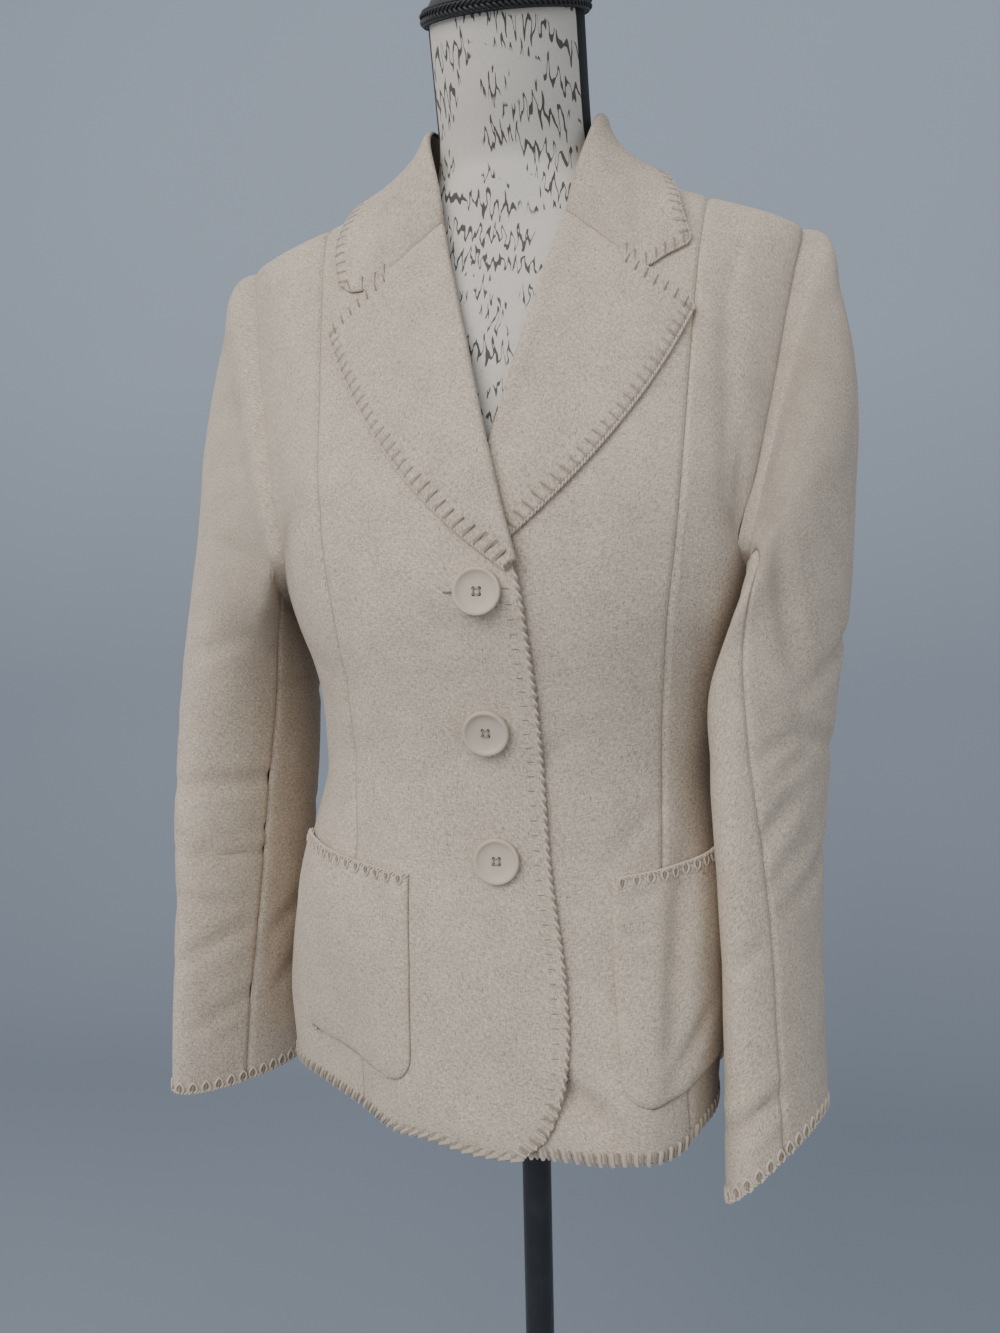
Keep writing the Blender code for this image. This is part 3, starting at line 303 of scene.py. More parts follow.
# Creases and soft folds, by the pieces they cross and the azimuth they are seen from (0 is the front, 90
# the wearer's left): where the middle lies in that view, the length, the tilt in degrees, the width and
# depth of the trough and the bow of its line.
Crease = namedtuple("Crease", "across z length tilt width depth bow")
CREASES = {
    ("top_sleeve_right", 0): (
        (-0.207, 1.063, 0.084, -1, 0.007, 0.0029, 0.001),
        (-0.209, 1.011, 0.069, -8, 0.0036, 0.0028, -0.001),
        (-0.203, 1.023, 0.051, 11, 0.004, 0.002, 0.001),
        (-0.224, 0.978, 0.044, -13, 0.006, 0.0026, 0),
        (-0.223, 0.946, 0.055, 26, 0.006, 0.0029, 0.001),
        (-0.211, 0.898, 0.064, 28, 0.005, 0.0023, 0.001),
        (-0.187, 1.229, 0.051, -20, 0.007, 0.002, 0),
        (-0.209, 1.16, 0.046, 22, 0.007, 0.0017, 0),
    ),
    ("under_sleeve_right", 0): (
        (-0.168, 1.14, 0.029, 45, 0.004, 0.002, 0),
        (-0.164, 1.057, 0.034, 40, 0.004, 0.0023, 0),
        (-0.18, 0.963, 0.045, 58, 0.0045, 0.0035, 0.001),
        (-0.184, 0.915, 0.034, 58, 0.0045, 0.0032, 0.001),
    ),
    ("top_sleeve_left", 0): (
        (0.179, 1.182, 0.092, -81, 0.008, 0.0043, -0.003),
        (0.173, 1.097, 0.032, 28, 0.006, 0.0029, 0.001),
        (0.183, 1.085, 0.033, 34, 0.006, 0.0026, 0.001),
        (0.171, 1.05, 0.046, 46, 0.007, 0.0036, 0.001),
        (0.179, 1.023, 0.036, 37, 0.006, 0.0022, 0.001),
    ),
    ("top_sleeve_left under_sleeve_left", 0): (
        (0.149, 0.97, 0.028, 37, 0.005, 0.0026, 0),
        (0.152, 0.872, 0.046, 36, 0.006, 0.0042, 0.001),
        (0.15, 0.885, 0.044, 34, 0.007, -0.0022, 0.001),
    ),
    ("side_front_left", 0): (
        (0.145, 1.309, 0.179, -90, 0.009, 0.0028, -0.002),
        (0.15, 1.257, 0.066, 87, 0.0045, 0.002, 0),
        (0.151, 1.408, 0.033, 72, 0.004, 0.0011, 0),
        (0.116, 1.164, 0.133, 88, 0.007, 0.0015, 0.001),
        (0.125, 1.164, 0.113, 88, 0.006, 0.0018, 0),
    ),
    ("front_left side_front_left", 0): (
        (0.082, 1.043, 0.047, 47, 0.005, 0.0017, 0.002),
    ),
    ("front_left", 0): (
        (0.05, 0.884, 0.08, -38, 0.01, 0.0072, 0.004),
        (0.062, 0.953, 0.058, -19, 0.01, 0.0018, 0.001),
        (0.025, 1.153, 0.051, -43, 0.008, 0.0012, 0.001),
        (0.032, 1.097, 0.045, 29, 0.008, 0.0012, 0.001),
    ),
    ("pocket_left", 0): (
        (0.084, 1.007, 0.028, 8, 0.004, 0.0018, 0.001),
        (0.082, 0.986, 0.024, -8, 0.004, 0.0016, -0.001),
    ),
    ("front_left pocket_left side_front_left", 0): (
        (0.11, 0.961, 0.14, 87, 0.009, 0.0042, 0.001),
        (0.12, 0.919, 0.038, 60, 0.006, 0.0028, 0),
    ),
    ("side_front_right", 0): (
        (-0.178, 1.41, 0.032, 84, 0.0034, 0.0012, 0),
        (-0.149, 1.272, 0.046, 88, 0.0042, 0.0018, 0),
    ),
    ("side_front_right front_right", 0): (
        (-0.125, 1.246, 0.031, -76, 0.004, 0.0012, 0),
        (-0.098, 1.245, 0.049, -17, 0.007, 0.0013, 0.001),
    ),
    ("front_right side_front_right", 0): (
        (-0.112, 1.145, 0.051, -26, 0.009, 0.0014, 0.001),
        (-0.1, 1.094, 0.047, 14, 0.008, 0.0015, -0.001),
    ),
    ("front_right pocket_right side_front_right", 0): (
        (-0.085, 1.006, 0.126, -61, 0.01, 0.0013, 0.001),
    ),
    ("front_left front_right", 0): (
        (-0.027, 1.177, 0.036, -37, 0.007, 0.001, 0.001),
        (-0.021, 1.101, 0.032, 35, 0.007, 0.001, 0.001),
    ),
    # Out of sight from the front: the back's drag lines and pleats, and the sleeves' elbow folds.
    ("back_left", 180): (
        (-0.06, 1.13, 0.13, 22, 0.011, 0.0022, 0.003),
        (-0.045, 1.085, 0.095, -14, 0.008, 0.0017, 0.002),
        (-0.128, 1.3, 0.15, 84, 0.009, 0.0024, -0.002),
        (-0.095, 0.95, 0.15, 82, 0.011, 0.002, 0.002),
    ),
    ("back_right", 180): (
        (0.055, 1.145, 0.12, -19, 0.01, 0.002, 0.003),
        (0.062, 1.07, 0.105, 12, 0.008, 0.0018, -0.002),
        (0.131, 1.295, 0.14, -83, 0.009, 0.0022, 0.002),
        (0.088, 0.94, 0.14, -84, 0.011, 0.002, -0.002),
    ),
    ("back_left back_right", 180): (
        (0, 1.43, 0.11, 2, 0.009, 0.0014, 0.004),
    ),
    ("top_sleeve_left", 90): (
        (-0.03, 1.15, 0.1, 24, 0.008, 0.0035, 0.002),
        (-0.045, 1.095, 0.085, -16, 0.007, 0.0032, -0.002),
        (-0.055, 1.01, 0.095, 19, 0.008, 0.0029, 0.002),
    ),
    ("top_sleeve_left under_sleeve_left", 180): (
        (-0.175, 1.12, 0.07, 18, 0.007, 0.0038, 0.001),
        (-0.172, 1.06, 0.06, -15, 0.006, 0.0032, -0.001),
    ),
    ("top_sleeve_right", 270): (
        (0.005, 1.16, 0.1, -22, 0.008, 0.0035, 0.002),
        (0.015, 1.09, 0.09, 17, 0.007, 0.0032, 0.002),
        (0.025, 0.99, 0.09, -20, 0.008, 0.0029, -0.002),
    ),
    ("top_sleeve_right under_sleeve_right", 180): (
        (0.205, 1.11, 0.07, -20, 0.007, 0.0035, 0.001),
        (0.208, 1.04, 0.06, 16, 0.006, 0.0032, -0.001),
    ),
}

# The flat size that each piece is cut to, its area and how it is held.
Cut = namedtuple("Cut", "width length area held")


# ---- the torso surface
def signed_power(value, power):
    return math.copysign(abs(value) ** power, value)


def body_face(angle, z):
    """Point on the blazer's outer face at an angle from the centre front and a height."""
    ring = BODY.at(z)
    x = ring.half_width * signed_power(math.sin(angle), 2 / ring.fullness)
    forward = signed_power(math.cos(angle), 2 / ring.fullness)
    y = -forward * (ring.front if forward > 0 else ring.back)
    stretch = 0.0
    for lobe in LOBES:
        away = (math.degrees(angle) - lobe.angle) / lobe.spread
        stretch += lobe.depth * math.exp(-away * away) * smooth_step(lobe.top, HEM_Z, z)
    scale = 1 + stretch / math.hypot(x, y)
    return Vector((x * scale, y * scale, z))


def body_point(angle, z, lift=0.0):
    """Point lifted off the blazer's outer face along its normal."""
    step = 1e-4
    across = body_face(angle + step, z) - body_face(angle - step, z)
    upward = body_face(angle, z + step) - body_face(angle, z - step)
    return body_face(angle, z) + lift * across.cross(upward).normalized()


def view_angle(x, z, back=False):
    """Angle of the torso point seen at (x, z) from the front, or from the back."""
    ring = BODY.at(z)
    share = min(max(x / ring.half_width, -1.0), 1.0)
    angle = math.asin(signed_power(share, ring.fullness / 2))
    return math.pi - angle if back else angle


def side_view_angle(y, z):
    """Angle of the torso point seen at (y, z) from the side."""
    ring = BODY.at(z)
    depth = ring.front if y < 0 else ring.back
    return math.acos(signed_power(min(max(-y / depth, -1.0), 1.0), ring.fullness / 2))


def view_x(angle, z):
    """Distance from the middle at which an angle's torso point is seen."""
    ring = BODY.at(z)
    return ring.half_width * abs(math.sin(angle)) ** (2 / ring.fullness)


def side_point(side, x, z, lift=0.0, back=False):
    """Point of one side's panel at (x, z) of the front or back view."""
    return body_point(side.sign * view_angle(x, z, back), z, lift)


def front_lift(side, x, z):
    """How far a front panel's face stands off the torso surface: the right laps over the left."""
    if side.sign > 0:
        return 0.0
    over_front = LAP_LIFT * smooth_step(0.105, 0.050, x) * smooth_step(1.390, 1.310, z)
    beside_break = smooth_step(1.170, 1.203, z) * smooth_step(1.375, 1.315, z)
    over_lapel = LAPEL_LAP_LIFT * smooth_step(0.065, 0.026, x) * beside_break
    return over_front + over_lapel


def front_point(side, x, z, lift=0.0):
    """Point of a front panel's face at (x, z) of the front view."""
    return side_point(side, x, z, front_lift(side, x, z) + lift)


# ---- smooth surfaces of points
class Curve:
    """Smooth line through points, read by a point's number and the share of the way to the next."""

    def __init__(self, points):
        self.points = points
        gaps = [max((b - a).length, 1e-7) for a, b in zip(points, points[1:])]
        slopes = [(b - a) / gap for a, b, gap in zip(points, points[1:], gaps)]
        inner = [(s0 * g1 + s1 * g0) / (g0 + g1) for s0, s1, g0, g1 in
                 zip(slopes, slopes[1:], gaps, gaps[1:])]
        self.gaps, self.tangents = gaps, [slopes[0], *inner, slopes[-1]]

    def at(self, place):
        index = min(int(place), len(self.gaps) - 1)
        t, gap = place - index, self.gaps[index]
        start, end = self.points[index:index + 2]
        leave, arrive = self.tangents[index:index + 2]
        return ((2 * t ** 3 - 3 * t ** 2 + 1) * start + (3 * t ** 2 - 2 * t ** 3) * end
                + gap * (t ** 3 - 2 * t ** 2 + t) * leave + gap * (t ** 3 - t ** 2) * arrive)


def refine(lines, along_line, across_lines):
    """Smooth grid through lines of points, read at places along each line and from line to line."""
    dense = [[Curve(line).at(place) for place in along_line] for line in lines]
    columns = [Curve([line[i] for line in dense]) for i in range(len(along_line))]
    return [[column.at(place) for column in columns] for place in across_lines]


def shares(count, start_fine=0.0, end_fine=0.0):
    """Even shares from 0 to 1, with closer ones next to an end that turns under at a seam."""
    values = {i / count for i in range(count + 1)}
    for fine, end in ((start_fine, 0.0), (end_fine, 1.0)):
        values |= {abs(end - fine * step) for step in (1.0, 2.2, 4.0) if fine > 0}
    kept = sorted(values)
    return [value for value, after in zip(kept, kept[1:]) if after - value > 1e-4] + [1.0]


class Surface:
    """A grid of points on a piece's outer face: columns first, rows upwards."""

    def __init__(self, points, outward_from=None):
        self.points = np.array([[tuple(point) for point in column] for column in points])
        centre = self.points.copy()
        centre[..., :2] = 0.0
        if outward_from is not None:
            centre[:] = outward_from
        self.sign = 1.0
        self.sign = math.copysign(1.0, (self.normals() * (self.points - centre)).sum())

    def normals(self):
        across, upward = np.gradient(self.points, axis=0), np.gradient(self.points, axis=1)
        normal = np.cross(across, upward)
        length = np.maximum(np.linalg.norm(normal, axis=2, keepdims=True), 1e-12)
        return self.sign * normal / length

    def walks(self):
        """Distance along the cloth from the first column and from the first row."""
        walked = []
        for axis in (0, 1):
            step = np.linalg.norm(np.diff(self.points, axis=axis), axis=2)
            pad = [(0, 0), (0, 0)]
            pad[axis] = (1, 0)
            walked.append(np.pad(np.cumsum(step, axis=axis), pad))
        return walked

    def displace(self, height):
        self.points = self.points + self.normals() * height[..., None]

    def edge(self, name):
        """Points of an edge, the direction from it into the piece and the face's normal there."""
        cut = {"first_column": np.s_[0, :], "last_column": np.s_[-1, :],
               "first_row": np.s_[:, 0], "last_row": np.s_[:, -1]}
        inside = {"first_column": np.s_[3, :], "last_column": np.s_[-4, :],
                  "first_row": np.s_[:, 3], "last_row": np.s_[:, -4]}
        line = self.points[cut[name]]
        inward = self.points[inside[name]] - line
        inward /= np.maximum(np.linalg.norm(inward, axis=1, keepdims=True), 1e-9)
        return line, inward, self.normals()[inside[name]]


def press_seams(surface, seams, depth, reach):
    """Let the face roll down to its seams: names of edges, how deep and over what distance."""
    across, upward = surface.walks()
    away = {"first_column": across, "last_column": across[-1:, :] - across,
            "first_row": upward, "last_row": upward[:, -1:] - upward}
    drop = np.zeros(surface.points.shape[:2])
    for name in seams:
        drop = np.maximum(drop, depth * np.exp(-(away[name] / reach) ** 2))
    surface.displace(-drop)


def round_corner(surface, last_column, last_row, radius):
    """Turn a grid's square corner into a round one of this radius."""
    across, upward = surface.walks()
    from_side = across[-1:, :] - across if last_column else across
    from_end = upward[:, -1:] - upward if last_row else upward
    u = np.clip(1 - from_side / radius, 0.0, 1.0)
    v = np.clip(1 - from_end / radius, 0.0, 1.0)
    steps = []
    for axis, last, share, other in ((0, last_column, u, v), (1, last_row, v, u)):
        way = np.gradient(surface.points, axis=axis)
        way /= np.maximum(np.linalg.norm(way, axis=2, keepdims=True), 1e-12)
        shift = radius * share * (1 - np.sqrt(1 - other ** 2 / 2))
        steps.append(way * (shift * (-1.0 if last else 1.0))[..., None])
    surface.points = surface.points + steps[0] + steps[1]


def wear(surface, name, strength):
    """Crease the cloth and make it slightly uneven, the same on every layer at one place."""
    surface.displace(crease_heights(surface, name))
    height = np.zeros(surface.points.shape[:2])
    for index in np.ndindex(height.shape):
        place = Vector(surface.points[index])
        broad = noise.noise(place * 16.0)
        fine = noise.noise(place * 41.0 + Vector((3.1, 7.7, 1.3)))
        height[index] = strength * (broad + 0.38 * fine)
    surface.displace(height)


def crease_heights(surface, name):
    """Height of all the creases that a piece has, at each of its points."""
    points, normals = surface.points, surface.normals()
    height = np.zeros(points.shape[:2])
    mine = [(seen_from, Crease(*row)) for (pieces, seen_from), rows in CREASES.items()
            if name in pieces.split() for row in rows]
    for seen_from, crease in mine:
        turn = math.radians(seen_from)
        across = points[..., 0] * math.cos(turn) + points[..., 1] * math.sin(turn) - crease.across
        up = points[..., 2] - crease.z
        tilt = math.radians(crease.tilt)
        along = (across * math.cos(tilt) + up * math.sin(tilt)) / (crease.length / 2)
        off = -across * math.sin(tilt) + up * math.cos(tilt) - crease.bow * (1 - along ** 2)
        off = off / crease.width
        facing = normals[..., 0] * math.sin(turn) - normals[..., 1] * math.cos(turn)
        seen = np.clip(facing * 2.5 + 0.3, 0.0, 1.0)
        profile = (1 - 0.7 * off ** 2) * np.exp(-0.8 * off ** 2)
        height -= crease.depth * profile * np.exp(-np.abs(along) ** 3) * seen
    return height


def patch_point(edges, u, v):
    """Point of a Coons patch. Its edges are functions: left and right of v, bottom and top of u."""
    left, right, bottom, top = edges
    rows = zip(left(v), right(v), bottom(u), top(u), bottom(0), bottom(1), top(0), top(1))
    return tuple((1 - u) * a + u * b + (1 - v) * c + v * d - (1 - u) * (1 - v) * e - u * (1 - v) * f
                 - (1 - u) * v * g - u * v * h for a, b, c, d, e, f, g, h in rows)


# ---- seams of the panels
def seam_height(v, bottom_z, top_z):
    """Height of a panel's row: even up to the underarm, then closer towards the top."""
    row = v * TOP_ROW
    if row <= ROWS_BELOW_ARM:
        return mix(bottom_z, UNDERARM_Z, row / ROWS_BELOW_ARM)
    turn = math.pi / 2 * (row - ROWS_BELOW_ARM) / ROWS_BESIDE_ARM
    return UNDERARM_Z + (top_z - UNDERARM_Z) * math.sin(turn)


def princess_seam(v):
    z = seam_height(v, HEM_Z, PRINCESS_TOP_Z)
    return PRINCESS.at(z).x, z


def opening_edge(v):
    """Front edge, roll line and front neckline, from the hem to the neck point."""
    row = v * TOP_ROW
    neck_row = TOP_ROW - NECK_ROWS
    if row <= ROWS_BELOW_ARM:
        z = mix(FRONT_EDGE.keys[0], UNDERARM_Z, row / ROWS_BELOW_ARM)
        return FRONT_EDGE.at(z).x, z
    if row <= ROWS_BELOW_ARM + 1:
        return mix_pair((FRONT_EDGE.rows[-1].x, UNDERARM_Z), (BREAK_X, BREAK_Z), row - ROWS_BELOW_ARM)
    if row <= neck_row:
        return mix_pair((BREAK_X, BREAK_Z), (GORGE_X, GORGE_Z), (row - ROWS_BELOW_ARM - 1) / ROLL_ROWS)
    neck_point = (BODY.at(NECK_POINT_Z).half_width, NECK_POINT_Z)
    return mix_pair((GORGE_X, GORGE_Z), neck_point, (row - neck_row) / NECK_ROWS)


def armhole_place(step):
    """Side-view point of the armhole at a share of the way from its top over the front."""
    row = ARMHOLE.at(360.0 * (step % 1.0))
    return row.y, row.z


def outer_edge(v, over_front):
    """Side seam, then the armhole up to the shoulder: angle around the body and height."""
    row = v * TOP_ROW
    if row <= ROWS_BELOW_ARM:
        return math.pi / 2, mix(HEM_Z, UNDERARM_Z, row / ROWS_BELOW_ARM)
    climb = 0.5 * (row - ROWS_BELOW_ARM) / ROWS_BESIDE_ARM
    y, z = armhole_place(0.5 - climb if over_front else 0.5 + climb - 1e-9)
    return side_view_angle(y, z), z


def ridge(start_z, end_z, u):
    """Shoulder line between two heights on the torso's ridge."""
    z = mix(start_z, end_z, u)
    return BODY.at(z).half_width, z


# Shares of a back half's top at the princess seam's height and at the neck point.
PRINCESS_SHARE, NECK_SHARE = 5 / 14, 11 / 14


def back_top(u):
    """Shoulder seam from the tip to the neck point, then the back neckline to the centre."""
    if u <= PRINCESS_SHARE:
        return ridge(SHOULDER_TIP_Z, PRINCESS_TOP_Z, u / PRINCESS_SHARE)
    if u <= NECK_SHARE:
        return ridge(PRINCESS_TOP_Z, NECK_POINT_Z, (u - PRINCESS_SHARE) / (NECK_SHARE - PRINCESS_SHARE))
    turn = math.pi / 2 * (u - NECK_SHARE) / (1 - NECK_SHARE)
    drop = (NECK_POINT_Z - BACK_NECK_Z) * math.sin(turn)
    return BODY.at(NECK_POINT_Z).half_width * math.cos(turn), NECK_POINT_Z - drop


# ---- surfaces of the cut pieces
PANEL_ROWS = 126
SEAM_DEPTH = 0.0017
SEAM_REACH = 0.0022
WEAR = 0.0009
FACED_WEAR = 0.0008       # of the stiffer lapels and collar


def wave_hem(surface):
    """Lift and drop the lower part of the skirt a little, the same on every layer."""
    x, y, z = (surface.points[..., axis] for axis in range(3))
    turn = np.degrees(np.arctan2(x, -y))
    fade = np.clip((0.935 - z) / 0.078, 0.0, 1.0)
    rise = sum(high * np.exp(-((turn - angle) / spread) ** 2) for angle, high, spread in HEM_WAVES)
    surface.points[..., 2] += rise * fade ** 2


def finish_surface(surface, name, seams):
    if "sleeve" not in name:
        wave_hem(surface)
    wear(surface, name, WEAR)
    press_seams(surface, seams, SEAM_DEPTH, SEAM_REACH)
    return surface


def panel_surface(side, name, edges, columns, point, seams):
    """A body panel: the patch between its edges, whose places a function turns into points."""
    rows = shares(PANEL_ROWS, 0.0016, 0.0016)
    surface = Surface([[point(*patch_point(edges, u, v)) for v in rows] for u in columns])
    return finish_surface(surface, f"{name}_{side.name}", seams)


@functools.lru_cache
def front_surface(side):
    edges = (opening_edge, princess_seam,
             lambda u: mix_pair(opening_edge(0), princess_seam(0), u),
             lambda u: ridge(NECK_POINT_Z, PRINCESS_TOP_Z, u))
    return panel_surface(side, "front", edges, shares(36, 0.006, 0.010), functools.partial(front_point, side),
                         ("last_column", "last_row"))


@functools.lru_cache
def side_front_surface(side):
    def inner(v):
        x, z = princess_seam(v)
        return view_angle(x, z), z

    edges = (inner, lambda v: outer_edge(v, True),
             lambda u: mix_pair(inner(0), (math.pi / 2, HEM_Z), u),
             lambda u: (math.pi / 2, mix(PRINCESS_TOP_Z, SHOULDER_TIP_Z, u)))
    return panel_surface(side, "side_front", edges, shares(26, 0.010, 0.010),
                         lambda angle, z: front_point(side, view_x(angle, z), z),
                         ("first_column", "last_column", "last_row"))


@functools.lru_cache
def back_surface(side):
    def outer(v):
        angle, z = outer_edge(v, False)
        return view_x(angle, z), z

    edges = (outer, lambda v: (0.0, seam_height(v, HEM_Z, BACK_NECK_Z)),
             lambda u: (view_x(math.pi / 2 * (1 - u), HEM_Z), HEM_Z), back_top)
    return panel_surface(side, "back", edges, shares(60, 0.005, 0.005),
                         lambda x, z: side_point(side, x, z, 0.0, True),
                         ("first_column", "last_column", "last_row"))


def fold_turn(underside, along, out, drop):
    """Points of the turn at a fold, whose underside starts here and runs along."""
    return [underside - along * turn.back + out * (LAPEL_THICK * turn.rise - drop * turn.drop)
            for turn in FOLD_TURN]


def lapel_swell(side, fold_z):
    """Soft roll at the fold. The left lapel is pressed flat where the right front laps over it."""
    if side.sign < 0:
        return 0.0020
    return 0.0026 * smooth_step(1.290, 1.340, fold_z)


def lapel_line(side, fold, edge, line_shares):
    """Outer points of one row of a lapel, from inside the fold out to the edge."""
    points, undersides = [], []
    for share in line_shares:
        x, z = mix_pair(fold, edge, share)
        rolled = lapel_swell(side, fold[1]) * max(1 - share / 0.5, 0.0) ** 2
        low = front_lift(side, x, z) + LAPEL_REST + rolled
        points.append(side_point(side, x, z, low + LAPEL_THICK))
        undersides.append(side_point(side, x, z, low))
    out = (points[0] - undersides[0]).normalized()
    face = front_point(side, *fold)
    ahead = side_point(side, *mix_pair(fold, edge, 0.1), front_lift(side, *fold))
    along = (ahead - face).normalized()
    drop = LAPEL_REST + lapel_swell(side, fold[1]) + FOLD_ROOT
    return fold_turn(undersides[0], along, out, drop) + points


def lapel_edge(side, share):
    """View point on a lapel's outer edge, from its foot (0) to its corner (1)."""
    start = Vector((BREAK_X + LAPEL_FOOT[0], BREAK_Z + LAPEL_FOOT[1]))
    chord = Vector((side.lapel_x, side.lapel_z)) - start
    belly = Vector((chord.y, -chord.x)).normalized() * LAPEL_BELLY * 4 * share * (1 - share)
    return tuple(start + chord * share + belly)


def fold_places(last):
    """Places along a folded line: close together around the turn, then even."""
    around = [i / 4 for i in range(4 * FOLD_STEPS)]
    return around + [FOLD_STEPS + i / 5 for i in range(5 * (last - FOLD_STEPS) + 1)]


@functools.lru_cache
def lapel_surface(side):
    lines = []
    for index in range(ROLL_ROWS + 1):
        share = index / ROLL_ROWS
        fold = mix_pair((BREAK_X, BREAK_Z), (GORGE_X, GORGE_Z), share)
        lines.append(lapel_line(side, fold, lapel_edge(side, share), LAPEL_SHARES))
    rows = refine(lines, fold_places(len(lines[0]) - 1), [v * ROLL_ROWS for v in shares(80, 0.0, 0.004)])
    surface = Surface([list(column) for column in zip(*rows)])
    round_corner(surface, True, True, 0.004)
    wear(surface, f"lapel_{side.name}", FACED_WEAR)
    press_lapel_edges(surface)
    return surface


def press_lapel_edges(surface):
    """The pressed rim of a lapel: a slight dip just inside the edge, and the gorge seam."""
    across, upward = surface.walks()
    rim = across[-1:, :] - across
    top = upward[:, -1:] - upward
    drop = 0.0006 * np.exp(-(rim / 0.0016) ** 2) + 0.0009 * np.exp(-(top / 0.0020) ** 2)
    surface.displace(-drop)


def gorge_line(side):
    """The collar's end: along the gorge seam to the notch, then out to the collar's corner."""
    corner = lapel_edge(side, 1.0)
    line = lapel_line(side, (GORGE_X, GORGE_Z), corner, LAPEL_SHARES[:NOTCH_INDEX + 1])
    notch = mix_pair((GORGE_X, GORGE_Z), corner, LAPEL_SHARES[NOTCH_INDEX])
    for step in (0.5, 1.0):
        x, z = mix_pair(notch, (side.collar_x, side.collar_z), step)
        line.append(side_point(side, x, z, LAPEL_REST + LAPEL_THICK))
    return line


def collar_frame(side, share):
    """Fold, edge, direction of the fall and its outward normal, at a share of the way to the back."""
    def place(kind, at):
        row = COLLAR.at(at)
        x, y, z = (getattr(row, f"{kind}_{axis}") for axis in "xyz")
        return Vector((side.sign * x, y, z))

    fold, edge = place("fold", share), place("edge", share)
    running = place("fold", min(share + 0.02, 1.0)) - place("fold", share - 0.02)
    if share == 1.0:
        running = Vector((-side.sign, 0.0, 0.0))
    along = (edge - fold).normalized()
    out = along.cross(running).normalized()
    if out.z < 0:
        out.negate()
    return fold, edge, along, out


def collar_line(side, share):
    fold, edge, along, out = collar_frame(side, share)
    swell = COLLAR.at(share).swell
    points = [fold + (edge - fold) * step + out * (swell * 4 * step * (1 - step) + LAPEL_THICK)
              for step in LAPEL_SHARES]
    return fold_turn(fold, along, out, COLLAR_TURN_DROP) + points


def collar_places():
    """Each collar column's side and share, from the right gorge seam around to the left one."""
    right = [(RIGHT, index / COLLAR_HALF_COLUMNS) for index in range(COLLAR_HALF_COLUMNS)]
    left = [(LEFT, index / COLLAR_HALF_COLUMNS) for index in range(COLLAR_HALF_COLUMNS, -1, -1)]
    return right + left


@functools.lru_cache
def collar_surface():
    lines = [gorge_line(side) if share == 0 else collar_line(side, share) for side, share in collar_places()]
    around = [u * (len(lines) - 1) for u in shares(150, 0.0012, 0.0012)]
    surface = Surface(refine(lines, fold_places(len(lines[0]) - 1), around), outward_from=(0.0, 0.0, 1.38))
    round_corner(surface, False, True, 0.013)
    round_corner(surface, True, True, 0.004)
    wear(surface, "collar", FACED_WEAR)
    press_seams(surface, ("first_column", "last_column"), 0.0010, 0.0018)
    press_seams(surface, ("last_row",), 0.0005, 0.0016)
    return surface


def neckline_point(side, share):
    """Point of the panels' neckline at a share of the way from the gorge seam to the centre back."""
    shoulder_share = 0.45
    if share < shoulder_share:
        neck_row = TOP_ROW - NECK_ROWS
        x, z = opening_edge((neck_row + NECK_ROWS * share / shoulder_share) / TOP_ROW)
        return side_point(side, x, z)
    x, z = back_top(NECK_SHARE + (1 - NECK_SHARE) * (share - shoulder_share) / (1 - shoulder_share))
    return side_point(side, x, z, 0.0, True)


@functools.lru_cache
def stand_surface():
    lines = []
    for side, share in collar_places():
        if share == 0:
            continue
        fold, _, _, out = collar_frame(side, share)
        foot, head = neckline_point(side, share), fold - out * 0.0006
        inward = Vector((-foot.x, -foot.y, 0.0)).normalized()
        lines.append([foot.lerp(head, rise) + inward * 0.0004 for rise in (0.0, 0.5, 1.0)])
    around = [u * (len(lines) - 1) for u in shares(110)]
    return Surface(refine(lines, [i / 5 for i in range(11)], around))


def angle_along(side, start, z, distance):
    """Angle reached from a start angle after a distance along the cloth, away from the front."""
    step = math.radians(1.0)
    angle, place = start, body_face(side.sign * start, z)
    while distance > 0:
        ahead = body_face(side.sign * (angle + step), z)
        length = (ahead - place).length
        angle += step * min(distance / length, 1.0)
        place = ahead
        distance -= length
    return angle


@functools.lru_cache
def pocket_surface(side):
    def place(across, up):
        height = (POCKET_TOP_Z - POCKET_BOTTOM_Z) * up
        z = POCKET_BOTTOM_Z + height + POCKET_TOP_RISE * across
        short = max(POCKET_CORNER - height, 0.0)
        inset = POCKET_CORNER - math.sqrt(POCKET_CORNER ** 2 - short ** 2)
        angle = angle_along(side, view_angle(side.pocket_x, z), z,
                            inset + across * (POCKET_WIDTH - 2 * inset))
        lift = front_lift(side, view_x(angle, z), z) + LAPEL_REST + mix(0.0012, 0.0026, across)
        return body_point(side.sign * angle, z, lift)

    rows = [v ** 1.4 for v in shares(44)]
    surface = Surface([[place(u, v) for v in rows] for u in shares(44, 0.010, 0.010)])
    wave_hem(surface)
    wear(surface, f"pocket_{side.name}", WEAR)
    press_seams(surface, ("first_column", "last_column", "first_row"), 0.0014, 0.0020)
    return surface


def armhole_point(side, step, lift, shrink):
    """Point of the armhole seam, moved towards the armhole's centre and lifted off the panels."""
    y, z = armhole_place(step)
    to_centre = Vector((-0.004 - y, 1.305 - z)).normalized() * shrink
    y, z = y + to_centre.x, z + to_centre.y
    return body_point(side.sign * side_view_angle(y, z), z, lift)


def head_point(side, turn):
    """Point of a sleeve's head, which stands straight out from the armhole seam."""
    y, z = armhole_place(turn / 360)
    seam = body_face(side_view_angle(y, z), z)
    out = mix(*HEAD_OUT, max(math.cos(math.radians(turn)), 0.0))
    return Vector((side.sign * (seam.x + out), seam.y * HEAD_SPREAD, z - HEAD_DROP))


